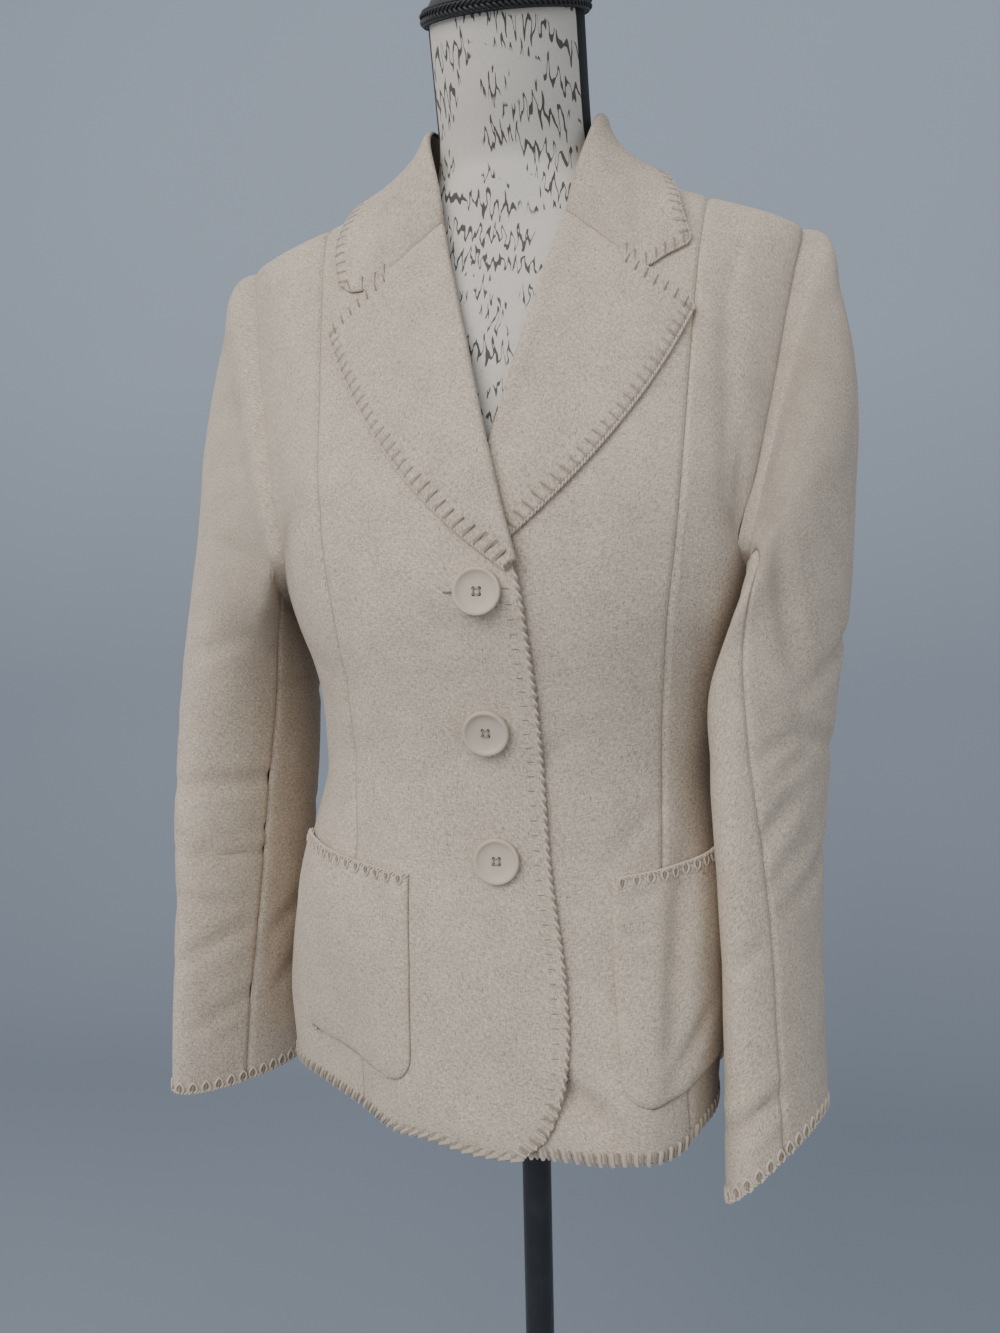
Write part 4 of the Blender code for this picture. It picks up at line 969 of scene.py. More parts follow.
def sleeve_face(side, ring, turn):
    """Outer face of a sleeve. Ring 1 is its head, and turn runs from its outer line over the front."""
    row = (LEFT_SLEEVE if side.sign > 0 else RIGHT_SLEEVE).at(ring)
    across, forward = math.cos(math.radians(turn)), math.sin(math.radians(turn))
    sink = row.slouch * forward * (1.0 if forward > 0 else BACK_SLOUCH)
    forward = math.sin(math.radians(turn - sink))
    x = mix(row.inner_x, row.outer_x, (1 + across) / 2)
    z = mix(row.inner_z, row.outer_z, (1 + across) / 2)
    yaw = math.radians(row.yaw)
    x -= forward * row.half_deep * math.sin(yaw)
    point = Vector((side.sign * x, row.y - forward * row.half_deep * math.cos(yaw), z))
    rise = max(FIRST_RING - ring, 0.0) / (FIRST_RING - 1)
    bulge = side.shoulder_bulge * 2 * rise * (1 - rise) * (1 + across)
    return point.lerp(head_point(side, turn), rise) + Vector((side.sign * bulge, 0.0, 0.0))


def sleeve_seams(side, name):
    """The turns of a sleeve piece's two seams, each at the armhole and at the cuff."""
    back = (BACK_SEAM, BACK_SEAM + side.back_twist)
    if name == "top_sleeve":
        return (back[0] - 360, back[1] - 360), side.front_seam
    return side.front_seam, back


@functools.lru_cache
def sleeve_surface(side, name):
    (start, start_cuff), (end, end_cuff) = sleeve_seams(side, name)
    down = [v * SLEEVE_RINGS for v in shares(120, 0.0016, 0.0018)]
    columns = []
    for u in shares(64 if name == "top_sleeve" else 34, 0.006, 0.006):
        head, cuff = mix(start, end, u), mix(start_cuff, end_cuff, u)
        hidden_part = side.seam_tuck * (1 - u if name == "under_sleeve" else u)
        line = [armhole_point(side, (head + hidden_part) / 360, *SLEEVE_TUCK)]
        for ring in range(1, SLEEVE_RINGS + 1):
            turn = mix(head, cuff, smooth_step(0.0, 1.0, ring / SLEEVE_RINGS))
            line.append(sleeve_face(side, ring, turn + hidden_part * smooth_step(4.0, 0.0, ring)))
        curve = Curve(line)
        columns.append([curve.at(place) for place in down])
    surface = Surface(columns, outward_from=(side.sign * 0.185, -0.03, 1.10))
    return finish_surface(surface, f"{name}_{side.name}", ("first_column", "last_column"))


Rim = namedtuple("Rim", "edge pitch reach start end")
# The stitched edges: stitch pitch and length, and what is left free at the two ends.
HEM_RIM = Rim("first_row", 0.0072, 0.0052, 0.0, 0.0)
RIMS = {
    "lapel": Rim("last_column", 0.0075, 0.0074, 0.004, 0.002),
    "collar": Rim("last_row", 0.0075, 0.0066, 0.002, 0.002),
    "front": HEM_RIM,
    "side_front": HEM_RIM,
    "back": HEM_RIM,
    "sleeve": Rim("last_row", 0.0088, 0.0072, 0.0, 0.0),
    "pocket": Rim("last_row", 0.0086, 0.0064, 0.002, 0.002),
}


# ---- meshes
def new_object(name, data):
    made = bpy.data.objects.new(name, data)
    bpy.context.scene.collection.objects.link(made)
    return made


def mesh_object(name, editor, material=None):
    """Object at the origin from an editor's mesh."""
    mesh = bpy.data.meshes.new(name)
    editor.to_mesh(mesh)
    editor.free()
    if material is not None:
        mesh.materials.append(material)
    mesh.shade_smooth()
    return new_object(name, mesh)


def new_piece(name, editor, material):
    """A mesh object that rides on the frame's one body."""
    piece = mesh_object(name, editor, material)
    piece.data.set_sharp_from_angle(angle=math.radians(50.0))
    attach(piece, "root")
    return piece


def finished_mesh(piece):
    """The mesh that an object's curve or modifiers make."""
    bpy.context.view_layer.update()
    return bpy.data.meshes.new_from_object(piece.evaluated_get(bpy.context.evaluated_depsgraph_get()))


def close_shell(editor):
    """Join the points that meet and turn the faces outward."""
    bmesh.ops.remove_doubles(editor, verts=editor.verts, dist=WELD)
    bmesh.ops.recalc_face_normals(editor, faces=editor.faces)


def turned(profile, steps):
    """A mesh turned about the upright axis from a profile of radii and heights."""
    editor = bmesh.new()
    rail = [editor.verts.new((x, 0.0, z)) for x, z in profile]
    edges = [editor.edges.new(pair) for pair in zip(rail, rail[1:])]
    bmesh.ops.spin(editor, geom=rail + edges, cent=(0, 0, 0), axis=(0, 0, 1), dvec=(0, 0, 0),
                   angle=2 * math.pi, steps=steps, use_merge=True)
    return editor


NO_RIM = 9.0


def stitch_spacing(length, pitch, start, end):
    """Number of stitches on an edge and the even distance between them."""
    count = max(int((length - start - end) / pitch), 1)
    return count, (length - start - end) / count


def rim_readings(surface, rim):
    """Each point's stitch number along the stitched edge, and its distance from it in stitch lengths."""
    across, upward = surface.walks()
    if rim is None:
        return across * 0.0, across * 0.0 + NO_RIM
    by_column, last = rim.edge.endswith("column"), rim.edge.startswith("last")
    away, along = (across, upward) if by_column else (upward, across)
    line = along[-1 if last else 0] if by_column else along[:, -1 if last else 0]
    end = away[-1:] if by_column else away[:, -1:]
    spacing = stitch_spacing(line[-1], rim.pitch, rim.start, rim.end)[1]
    number = (line - rim.start) / spacing
    number = number[None, :] if by_column else number[:, None]
    return number + across * 0.0, (end - away if last else away) / rim.reach


def grid_editor(surface, rim):
    """A bmesh grid on a surface's points, with UV maps of its cloth in metres and of its stitched edge."""
    columns, rows = (size - 1 for size in surface.points.shape[:2])
    across, upward = surface.walks()
    if rim is not None and rim.edge == "last_row":
        upward = upward - upward[:, -1:]
    number, away = rim_readings(surface, rim)
    editor = bmesh.new()
    bmesh.ops.create_grid(editor, x_segments=columns, y_segments=rows, size=1.0)
    uv, rim_uv = editor.loops.layers.uv.new("cloth"), editor.loops.layers.uv.new("rim")
    for vert in editor.verts:
        place = (round((vert.co.x + 1) / 2 * columns), round((vert.co.y + 1) / 2 * rows))
        vert.co = surface.points[place]
        for loop in vert.link_loops:
            loop[uv].uv = (across[place], upward[place])
            loop[rim_uv].uv = (number[place], away[place])
    editor.normal_update()
    middle = surface.points.shape[0] // 2, surface.points.shape[1] // 2
    centre, outward = Vector(surface.points[middle]), Vector(surface.normals()[middle])
    nearest = min(editor.faces, key=lambda face: (face.calc_center_median() - centre).length)
    if nearest.normal.dot(outward) < 0:
        bmesh.ops.reverse_faces(editor, faces=editor.faces)
    return editor


def sew_piece(name, surface, wall, rim=None):
    """A thin shell of cloth on a surface."""
    piece = new_piece(f"{name}_cloth", grid_editor(surface, rim), cloth_material())
    solid = piece.modifiers.new("wall", "SOLIDIFY")
    solid.thickness = wall
    solid.offset = -1.0
    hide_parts(name)


def thread_piece(name, strands, radius, material):
    """Threads as closed tubes along lists of points, joined in one mesh."""
    curve = bpy.data.curves.new(name, "CURVE")
    curve.dimensions = "3D"
    curve.bevel_depth = radius
    curve.bevel_resolution = 1
    curve.use_fill_caps = True
    for strand in strands:
        spline = curve.splines.new("POLY")
        spline.points.add(len(strand) - 1)
        for point, place in zip(spline.points, strand):
            point.co = (*place, 1.0)
    helper = new_object(name, curve)
    mesh = finished_mesh(helper)
    bpy.data.objects.remove(helper, do_unlink=True)
    bpy.data.curves.remove(curve)
    editor = bmesh.new()
    editor.from_mesh(mesh)
    bpy.data.meshes.remove(mesh)
    close_shell(editor)
    piece = new_piece(name, editor, material)
    return piece


# ---- hand stitches
class Edge:
    """A piece's edge walked by distance, giving a place, the way into the piece and the face's normal."""

    def __init__(self, line, inward, normal):
        self.line, self.inward, self.normal = line, inward, normal
        steps = np.linalg.norm(np.diff(line, axis=0), axis=1)
        self.walk = np.concatenate([[0.0], np.cumsum(steps)])
        self.length = self.walk[-1]

    def at(self, distance):
        def read(values):
            return Vector([float(np.interp(distance, self.walk, values[:, axis])) for axis in range(3)])
        return read(self.line), read(self.inward).normalized(), read(self.normal).normalized()

    def places(self, pitch, start=0.0, end=0.0):
        """Distances of evenly pitched stitches, a little uneven as by hand."""
        count, spacing = stitch_spacing(self.length, pitch, start, end)
        return [start + spacing * (i + 0.5 + 0.06 * math.sin(12.9 * i)) for i in range(count)]


def part_of_edge(surface, name, first=0.0, last=1.0):
    """An edge of a surface between two shares of its points."""
    line, inward, normal = surface.edge(name)
    low, high = round(first * (len(line) - 1)), round(last * (len(line) - 1))
    return Edge(line[low:high + 1], inward[low:high + 1], normal[low:high + 1])


def over_edge(place, inward, normal, reach, slant, wall, lift):
    """One stitch that goes from the back around the edge and in over the face."""
    return [place + inward * 0.0012 - normal * (wall + 0.0004),
            place - inward * 0.0004 - normal * wall * 0.6,
            place - inward * 0.0005 + normal * 0.0002 + slant * 0.1,
            place + inward * 0.0010 + normal * lift + slant * 0.25,
            place + inward * reach * 0.6 + normal * lift + slant * 0.65,
            place + inward * reach * 0.95 + normal * lift * 0.5 + slant,
            place + inward * (reach + 0.0004) - normal * 0.0006 + slant]


def blanket_stitches(edge, rim, wall, lengths):
    """Stitches square to the edge, whose length changes from its start to its end."""
    strands = []
    for number, distance in enumerate(edge.places(rim.pitch, rim.start, rim.end)):
        place, inward, normal = edge.at(distance)
        length = rim.reach * mix(*lengths, distance / edge.length) * (1 + 0.10 * math.sin(7.3 * number))
        strands.append(over_edge(place, inward, normal, length, Vector(), wall, 0.0001))
    return strands


def whip_stitches(edge, rim, lean, wall):
    """Stitches that wrap the edge on a slant, lean metres further along it."""
    strands = []
    for distance in edge.places(rim.pitch, rim.start, rim.end):
        place, inward, normal = edge.at(distance)
        along = inward.cross(normal).normalized()
        strands.append(over_edge(place, inward, normal, rim.reach, along * lean, wall, 0.0002))
    return strands


# Half a leaf: how far in, how far to the side and how far out of the cloth.
LEAF = ((-0.08, 0.35, -0.0012), (-0.06, 0.45, 0.0004), (0.25, 1.0, 0.0004), (0.60, 0.80, 0.0004),
        (0.90, 0.25, 0.0004), (1.0, 0.05, -0.0005))


def leaf_stitches(edge, rim, half_width):
    """Loops like leaves: two strands bow out from one hole at the edge and meet in a point inside it."""
    strands = []
    for distance in edge.places(rim.pitch, rim.start, rim.end):
        place, inward, normal = edge.at(distance)
        along = inward.cross(normal).normalized()
        for way in (-1, 1):
            strands.append([place + inward * rim.reach * up + along * half_width * side * way + normal * out
                            for up, side, out in LEAF])
    return strands


def twisted_cord(edge, radius, pitch=CORD_PITCH, wall=0.0012):
    """Two strands twisted together along the edge."""
    steps = max(int(edge.length / (pitch / 6)), 2)
    strands = []
    for phase in (0.0, math.pi):
        strand = []
        for i in range(steps + 1):
            distance = edge.length * i / steps
            place, inward, normal = edge.at(distance)
            turn = 2 * math.pi * distance / pitch + phase
            strand.append(place - inward * 0.0002 - normal * wall * 0.35
                          - inward * radius * math.cos(turn) + normal * radius * math.sin(turn))
        strands.append(strand)
    return strands


def front_ticks(edge, pitch, near, far, start, end):
    """Short sunken stitches beside the front edge, between two distances from it."""
    strands = []
    for distance in edge.places(pitch, start, end):
        place, inward, normal = edge.at(distance)
        strands.append([place + inward * near - normal * 0.0005,
                        place + inward * (near + 0.0006) + normal * 0.0001,
                        place + inward * (far - 0.0006) + normal * 0.0001,
                        place + inward * far - normal * 0.0005])
    return strands


# ---- materials
def socket(group, name, kind, default=None, output=False):
    way = "OUTPUT" if output else "INPUT"
    made = group.interface.new_socket(name=name, in_out=way, socket_type=f"NodeSocket{kind}")
    if default is not None:
        made.default_value = default


class Nodes:
    """Short hand for building a node tree."""

    def __init__(self, tree):
        self.tree = tree

    def add(self, kind, **values):
        node = self.tree.nodes.new(f"ShaderNode{kind}")
        for name, value in values.items():
            setattr(node, name, value)
        return node

    def link(self, source, target):
        self.tree.links.new(source, target)

    def fill(self, node, **inputs):
        """Set or link inputs by name, spaces written as underscores."""
        for name, value in inputs.items():
            target = node.inputs[int(name[1:])] if name[0] == "n" and name[1:].isdigit() else \
                node.inputs[name.replace("_", " ")]
            if isinstance(value, bpy.types.NodeSocket):
                self.link(value, target)
            else:
                target.default_value = value
        return node

    def math(self, operation, first, second=0.0, third=0.0):
        node = self.add("Math", operation=operation)
        self.fill(node, n0=first, n1=second, n2=third)
        return node.outputs[0]

    def vector(self, operation, first, second):
        node = self.add("VectorMath", operation=operation)
        self.fill(node, n0=first, n1=second)
        return node.outputs[0]

    def noise(self, vector, scale, detail=2.0, roughness=0.5):
        node = self.add("TexNoise")
        self.fill(node, Vector=vector, Scale=scale, Detail=detail, Roughness=roughness)
        return node.outputs["Fac"]

    def map_range(self, value, low, high, out_low=0.0, out_high=1.0, smooth=True):
        node = self.add("MapRange", interpolation_type="SMOOTHSTEP" if smooth else "LINEAR")
        self.fill(node, n0=value, n1=low, n2=high, n3=out_low, n4=out_high)
        return node.outputs[0]

    def mix_colour(self, share, first, second):
        node = self.add("Mix", data_type="RGBA")
        self.fill(node, n0=share, n6=first, n7=second)
        return node.outputs[2]

    def place(self):
        """Coordinates that stay with the object."""
        return self.add("TexCoord").outputs["Object"]

    def split(self, vector):
        node = self.add("SeparateXYZ")
        self.link(vector, node.inputs[0])
        return node.outputs

    def stretched(self, vector, scales, detail, roughness=0.5):
        """Noise with its own scale along each axis."""
        return self.noise(self.vector("MULTIPLY", vector, scales), 1.0, detail, roughness)

    def bump(self, height, strength, distance, **inputs):
        node = self.add("Bump")
        self.fill(node, Height=height, Strength=strength, Distance=distance, **inputs)
        return node.outputs[0]


@functools.lru_cache
def weave_group():
    """Heathered twill: colour varies thread by thread, with flecks, and the height of the weave."""
    group = bpy.data.node_groups.new("heathered weave", "ShaderNodeTree")
    socket(group, "Vector", "Vector")
    socket(group, "Place", "Vector")
    socket(group, "Light Yarn", "Color", (0.6, 0.5, 0.4, 1.0))
    socket(group, "Dark Yarn", "Color", (0.3, 0.25, 0.2, 1.0))
    socket(group, "Pitch", "Float", 0.0008)
    socket(group, "Heather", "Float", 0.5)
    socket(group, "Color", "Color", output=True)
    socket(group, "Height", "Float", output=True)
    n = Nodes(group)
    inlet, outlet = group.nodes.new("NodeGroupInput"), group.nodes.new("NodeGroupOutput")
    vector, place = inlet.outputs["Vector"], inlet.outputs["Place"]
    u, v, _ = n.split(vector)
    per_thread = n.math("DIVIDE", 2 * math.pi, inlet.outputs["Pitch"])
    across = n.math("MULTIPLY", u, per_thread)
    up = n.math("MULTIPLY", v, per_thread)
    warp = n.math("SINE", across)
    weft = n.math("SINE", up)
    twill = n.math("SINE", n.math("ADD", across, up))
    weave = n.math("MULTIPLY_ADD", n.math("MULTIPLY", warp, weft), 0.35, n.math("MULTIPLY", twill, 0.30))
    warp_streak = n.stretched(vector, (950.0, 330.0, 1.0), 3.0, 0.6)
    weft_streak = n.stretched(vector, (330.0, 900.0, 1.0), 3.0, 0.6)
    mottle = n.noise(place, 55.0, 4.0, 0.65)
    broad = n.noise(place, 9.0, 2.0, 0.5)
    grain = n.noise(place, 900.0, 1.0, 0.6)
    streaks = n.math("ADD", warp_streak, weft_streak)
    tone = n.math("MULTIPLY_ADD", n.math("SUBTRACT", streaks, 1.0), 1.45, 0.5)
    for layer, strength in ((mottle, 0.45), (broad, 0.18), (grain, 0.75)):
        tone = n.math("MULTIPLY_ADD", n.math("SUBTRACT", layer, 0.5), strength, tone)
    tone = n.math("MULTIPLY_ADD", n.math("SUBTRACT", tone, 0.5), inlet.outputs["Heather"], 0.5)
    cloth = n.mix_colour(n.map_range(tone, 0.0, 1.0, smooth=False), inlet.outputs["Dark Yarn"],
                         inlet.outputs["Light Yarn"])
    fleck = n.map_range(n.stretched(vector, (1000.0, 260.0, 1.0), 0.0), 0.74, 0.82, 0.0, 0.55)
    cloth = n.mix_colour(fleck, cloth, (0.115, 0.088, 0.062, 1.0))
    n.link(cloth, outlet.inputs["Color"])
    height = n.math("ADD", weave, n.math("MULTIPLY", n.math("SUBTRACT", streaks, 1.0), 1.6))
    n.link(height, outlet.inputs["Height"])
    return group


def principled(name):
    material = bpy.data.materials.new(name)
    material.use_nodes = True
    return material, Nodes(material.node_tree), material.node_tree.nodes["Principled BSDF"]


def rgba(colour, strength=1.0):
    return (*(channel * strength for channel in colour), 1.0)


@functools.lru_cache
def cloth_material():
    look = bpy.context.scene.blazer_cloth
    material, n, shader = principled("linen and wool cloth")
    weave = n.add("Group", node_tree=weave_group())
    n.fill(weave, Vector=n.add("UVMap", uv_map="cloth").outputs[0], Place=n.place(),
           Light_Yarn=rgba(look.light_yarn), Dark_Yarn=rgba(look.dark_yarn), Pitch=look.thread_pitch,
           Heather=look.heather)
    relief = n.bump(weave.outputs["Height"], 0.75, 0.00030)
    # The cloth is pinched at each stitch, between the stitch's end and the cloth beside it: a real bump, and
    # painted shade that darkens the colour there.
    number, away, _ = n.split(n.add("UVMap", uv_map="rim").outputs[0])
    beside = n.map_range(away, 0.75, 1.25, 1.0, 0.0)
    swing = n.math("MULTIPLY_ADD", n.math("COSINE", n.math("MULTIPLY", number, 2 * math.pi)), -0.5, 0.5)
    pinch_and_painted_shade = n.math("MULTIPLY", beside, n.math("POWER", swing, 3.0))
    dent = n.bump(n.math("MULTIPLY", pinch_and_painted_shade, -1.0), 0.8, 0.0012, Normal=relief)
    # Painted shade: the colour darkens toward a dimmed dark yarn at each pinch.
    tint = n.mix_colour(n.math("MULTIPLY", pinch_and_painted_shade, 0.22), weave.outputs["Color"], rgba(look.dark_yarn, 0.55))
    n.fill(shader, Base_Color=tint, Normal=dent, Roughness=0.92, Sheen_Weight=0.16, Sheen_Roughness=0.5,
           Sheen_Tint=(0.95, 0.88, 0.78, 1.0), Specular_IOR_Level=0.18)
    return material


@functools.lru_cache
def thread_material(tone):
    """Thread a little lighter or darker than the cloth, with the twist of its plies. The darker thread is
    painted shade, standing for stitches, gaps, dents and holes that lie in shade.
    """
    look = bpy.context.scene.blazer_stitches
    material, n, shader = principled(f"{tone} thread")
    colour = {"light": look.light_thread, "soft": look.soft_thread, "dark": look.dark_thread}[tone]
    plies = n.noise(n.place(), 1400.0, 1.0)
    tint = n.mix_colour(plies, rgba(colour, 0.72), rgba(colour))
    n.fill(shader, Base_Color=tint, Normal=n.bump(plies, 0.5, 0.0002), Roughness=0.75, Sheen_Weight=0.1,
           Specular_IOR_Level=0.25)
    return material


@functools.lru_cache
def button_material():
    look = bpy.context.scene.blazer_buttons
    material, n, shader = principled("horn-look button")
    place = n.place()
    cloud = n.noise(place, 220.0, 4.0, 0.6)
    speck = n.noise(place, 1600.0, 1.0, 0.5)
    tone = n.math("MULTIPLY_ADD", speck, 0.35, n.math("MULTIPLY", cloud, 0.7))
    tint = n.mix_colour(tone, rgba(look.colour, 0.80), rgba(look.colour))
    n.fill(shader, Base_Color=tint, Normal=n.bump(speck, 0.18, 0.0002), Specular_IOR_Level=0.4,
           Roughness=n.map_range(cloud, 0.0, 1.0, 0.42, 0.62, smooth=False))
    return material


@functools.lru_cache
def cover_material():
    """Printed linen on the form's front half and black cloth behind, split by the UV's angle."""
    look = bpy.context.scene.blazer_form
    material, n, shader = principled("printed form cover")
    uv = n.add("UVMap", uv_map="cloth").outputs[0]
    place = n.place()
    slub = n.stretched(uv, (260.0, 2400.0, 1.0), 2.0)
    cross = n.stretched(uv, (2400.0, 300.0, 1.0), 2.0)
    threads = n.math("ADD", slub, cross)
    linen = n.mix_colour(n.map_range(threads, 0.6, 1.4, smooth=False),
                         rgba(look.cover, 0.78), rgba(look.cover))
    # Loose pen strokes in slanting rows: a wavy line that breaks up into words of no letters.
    x, _, z = n.split(place)
    wander = n.math("SUBTRACT", n.stretched(place, (160.0, 30.0, 60.0), 1.0), 0.5)
    row = n.math("DIVIDE", n.math("MULTIPLY_ADD", x, 0.28, z), look.row_height)
    loops = n.math("SINE", n.math("MULTIPLY_ADD", x, 2 * math.pi / look.loop_width,
                                  n.math("MULTIPLY", wander, 9.0)))
    tall = n.stretched(place, (330.0, 30.0, 40.0), 1.0)
    swing = n.math("MULTIPLY", loops, n.map_range(tall, 0.35, 0.65, 0.08, 0.46))
    offset = n.math("ABSOLUTE", n.math("SUBTRACT", n.math("FRACT", n.math("ADD", row, swing)), 0.5))
    pen = n.map_range(offset, 0.095, 0.130, 1.0, 0.0)
    words = n.stretched(place, (42.0, 10.0, 50.0), 0.0)
    ink = n.math("MULTIPLY", n.math("MULTIPLY", pen, n.map_range(words, 0.42, 0.47)), 0.92)
    printed = n.mix_colour(ink, linen, rgba(look.ink))
    turn = n.split(n.add("UVMap", uv_map="turn").outputs[0])[0]
    behind = n.map_range(turn, -0.003, 0.003)
    black = n.mix_colour(n.math("MULTIPLY", threads, 0.5), rgba(look.back, 0.6), rgba(look.back))
    n.fill(shader, Base_Color=n.mix_colour(behind, printed, black), Roughness=0.88, Sheen_Weight=0.1,
           Normal=n.bump(threads, 0.4, 0.0003), Specular_IOR_Level=0.15)
    return material


@functools.lru_cache
def black_trim_material():
    material, n, shader = principled("black braid")
    fibre = n.noise(n.place(), 700.0, 2.0)
    tint = n.mix_colour(fibre, (0.006, 0.006, 0.008, 1.0), (0.022, 0.022, 0.026, 1.0))
    n.fill(shader, Base_Color=tint, Normal=n.bump(fibre, 0.5, 0.0003), Roughness=0.62, Sheen_Weight=0.15)
    return material


@functools.lru_cache
def stand_material():
    look = bpy.context.scene.blazer_form
    material, n, shader = principled("black lacquered steel")
    place = n.place()
    dust = n.noise(place, 40.0, 5.0, 0.7)
    tint = n.mix_colour(n.map_range(dust, 0.45, 0.8, 0.0, 0.35), rgba(look.stand), (0.05, 0.05, 0.052, 1.0))
    grain = n.noise(place, 900.0, 2.0)
    n.fill(shader, Base_Color=tint, Normal=n.bump(grain, 0.12, 0.0002), Coat_Weight=0.2,
           Roughness=n.map_range(dust, 0.2, 0.8, 0.28, 0.46, smooth=False))
    return material


# ---- settings
def colour_property(name, description, default):
    return bpy.props.FloatVectorProperty(name=name, description=description, default=default, size=3,
                                         min=0.0, max=1.0, subtype="COLOR")


def length_property(name, description, default):
    return bpy.props.FloatProperty(name=name, description=description, default=default, min=0.0,
                                   precision=4, unit="LENGTH")


class BlazerCloth(bpy.types.PropertyGroup):
    light_yarn: colour_property("Light yarn", "Colour of the pale yarns", (0.745, 0.634, 0.512))
    dark_yarn: colour_property("Dark yarn", "Colour of the darker yarns", (0.385, 0.316, 0.246))
    heather: bpy.props.FloatProperty(name="Heather", description="How far the yarns differ", default=1.25,
                                     min=0.0, max=2.0)
    thread_pitch: length_property("Thread pitch", "Distance from thread to thread", 0.0011)
    wall: length_property("Wall", "Thickness of one layer of cloth", 0.0011)
    faced_wall: length_property("Faced wall", "Thickness of the lapels, collar and pockets", 0.0015)


class BlazerStitches(bpy.types.PropertyGroup):
    light_thread: colour_property("Light thread", "Colour of the raised stitches", (0.66, 0.565, 0.46))
    soft_thread: colour_property("Soft thread", "Colour of the hem's fat stitches", (0.54, 0.46, 0.372))
    # The darker thread is painted shade of sunken stitches, gaps, dents and holes.
    dark_thread: colour_property("Dark thread", "Colour of the sunken stitches", (0.34, 0.285, 0.225))
    radius: length_property("Thread radius", "Radius of the stitching thread", 0.00042)
    tick_pitch: length_property("Tick pitch", "Distance between the sunken front edge stitches", 0.0088)
    hem_lean: length_property("Hem lean", "How far the hem's whipped stitches slant", 0.0030)


class BlazerButtons(bpy.types.PropertyGroup):
    colour: colour_property("Colour", "Colour of the buttons", (0.585, 0.495, 0.395))
    rim: length_property("Rim", "Width of the raised rim", 0.0026)
    hole_radius: length_property("Hole radius", "Radius of each sewing hole", 0.00105)
    hole_pitch: length_property("Hole pitch", "Distance between neighbouring holes", 0.0036)


class BlazerForm(bpy.types.PropertyGroup):
    cover: colour_property("Cover", "Colour of the printed linen", (0.66, 0.615, 0.555))
    ink: colour_property("Ink", "Colour of the print", (0.050, 0.046, 0.044))
    back: colour_property("Back cover", "Colour of the back half's cloth", (0.014, 0.014, 0.016))
    stand: colour_property("Stand", "Colour of the pole and base", (0.012, 0.012, 0.014))
    row_height: length_property("Row height", "Distance between the rows of pen strokes", 0.0215)
    loop_width: length_property("Loop width", "Width of one pen stroke", 0.0054)


class BlazerStage(bpy.types.PropertyGroup):
    backdrop: colour_property("Backdrop", "Colour of the floor and backdrop", (0.335, 0.370, 0.425))
    key_power: bpy.props.FloatProperty(name="Key light", description="Power of the main soft light",
                                       default=62.0, unit="POWER")
    fill_power: bpy.props.FloatProperty(name="Fill light", description="Power of the soft light opposite",
                                        default=2.5, unit="POWER")
    sky: bpy.props.FloatProperty(name="Room light", description="Strength of the even light", default=0.66)
    eye: bpy.props.FloatVectorProperty(name="Camera", description="Place of the camera", size=3,
                                       default=(0.113, -0.736, 1.199), subtype="TRANSLATION")
    pan: bpy.props.FloatProperty(name="Pan", description="Turn to the camera's left",
                                 default=math.radians(10.24), subtype="ANGLE")
    pitch: bpy.props.FloatProperty(name="Pitch", description="Tilt below the horizon",
                                   default=math.radians(4.44), subtype="ANGLE")
    roll: bpy.props.FloatProperty(name="Roll", description="Turn about the line of sight",
                                  default=math.radians(-1.28), subtype="ANGLE")
    lens: bpy.props.FloatProperty(name="Lens", description="Focal length for a 36 mm tall picture",
                                  default=27.41, subtype="DISTANCE_CAMERA")


# ---- operators
class BLAZER_OT_panels(bpy.types.Operator):
    """Fronts, side fronts and back halves"""
    bl_idname = "blazer.panels"
    bl_label = "Body Panels"

    def execute(self, context):
        wall = context.scene.blazer_cloth.wall
        for side in SIDES:
            for name, surface in (("front", front_surface), ("side_front", side_front_surface),
                                  ("back", back_surface)):
                sew_piece(f"{name}_{side.name}", surface(side), wall, RIMS[name])
        return {"FINISHED"}


class BLAZER_OT_lapels(bpy.types.Operator):
    """Notch lapels, folded over at the roll line"""
    bl_idname = "blazer.lapels"
    bl_label = "Lapels"

    def execute(self, context):
        wall = context.scene.blazer_cloth.faced_wall
        for side in SIDES:
            sew_piece(f"lapel_{side.name}", lapel_surface(side), wall,
                      RIMS["lapel"])
        return {"FINISHED"}


class BLAZER_OT_collar(bpy.types.Operator):
    """Fall of the collar and its stand"""
    bl_idname = "blazer.collar"
    bl_label = "Collar"

    def execute(self, context):
        look = context.scene.blazer_cloth
        sew_piece("collar", collar_surface(), look.faced_wall, RIMS["collar"])
        sew_piece("collar_stand", stand_surface(), look.wall)
        return {"FINISHED"}


class BLAZER_OT_pockets(bpy.types.Operator):
    """Patch pockets on the lower fronts"""
    bl_idname = "blazer.pockets"
    bl_label = "Pockets"

    def execute(self, context):
        for side in SIDES:
            sew_piece(f"pocket_{side.name}", pocket_surface(side),
                      context.scene.blazer_cloth.wall, RIMS["pocket"])
        return {"FINISHED"}


class BLAZER_OT_sleeves(bpy.types.Operator):
    """Two-piece sleeves"""
    bl_idname = "blazer.sleeves"
    bl_label = "Sleeves"

    def execute(self, context):
        wall = context.scene.blazer_cloth.wall
        for side in SIDES:
            for name in ("top_sleeve", "under_sleeve"):
                full_name = f"{name}_{side.name}"
                sew_piece(full_name, sleeve_surface(side, name), wall,
                          RIMS["sleeve"])
        return {"FINISHED"}


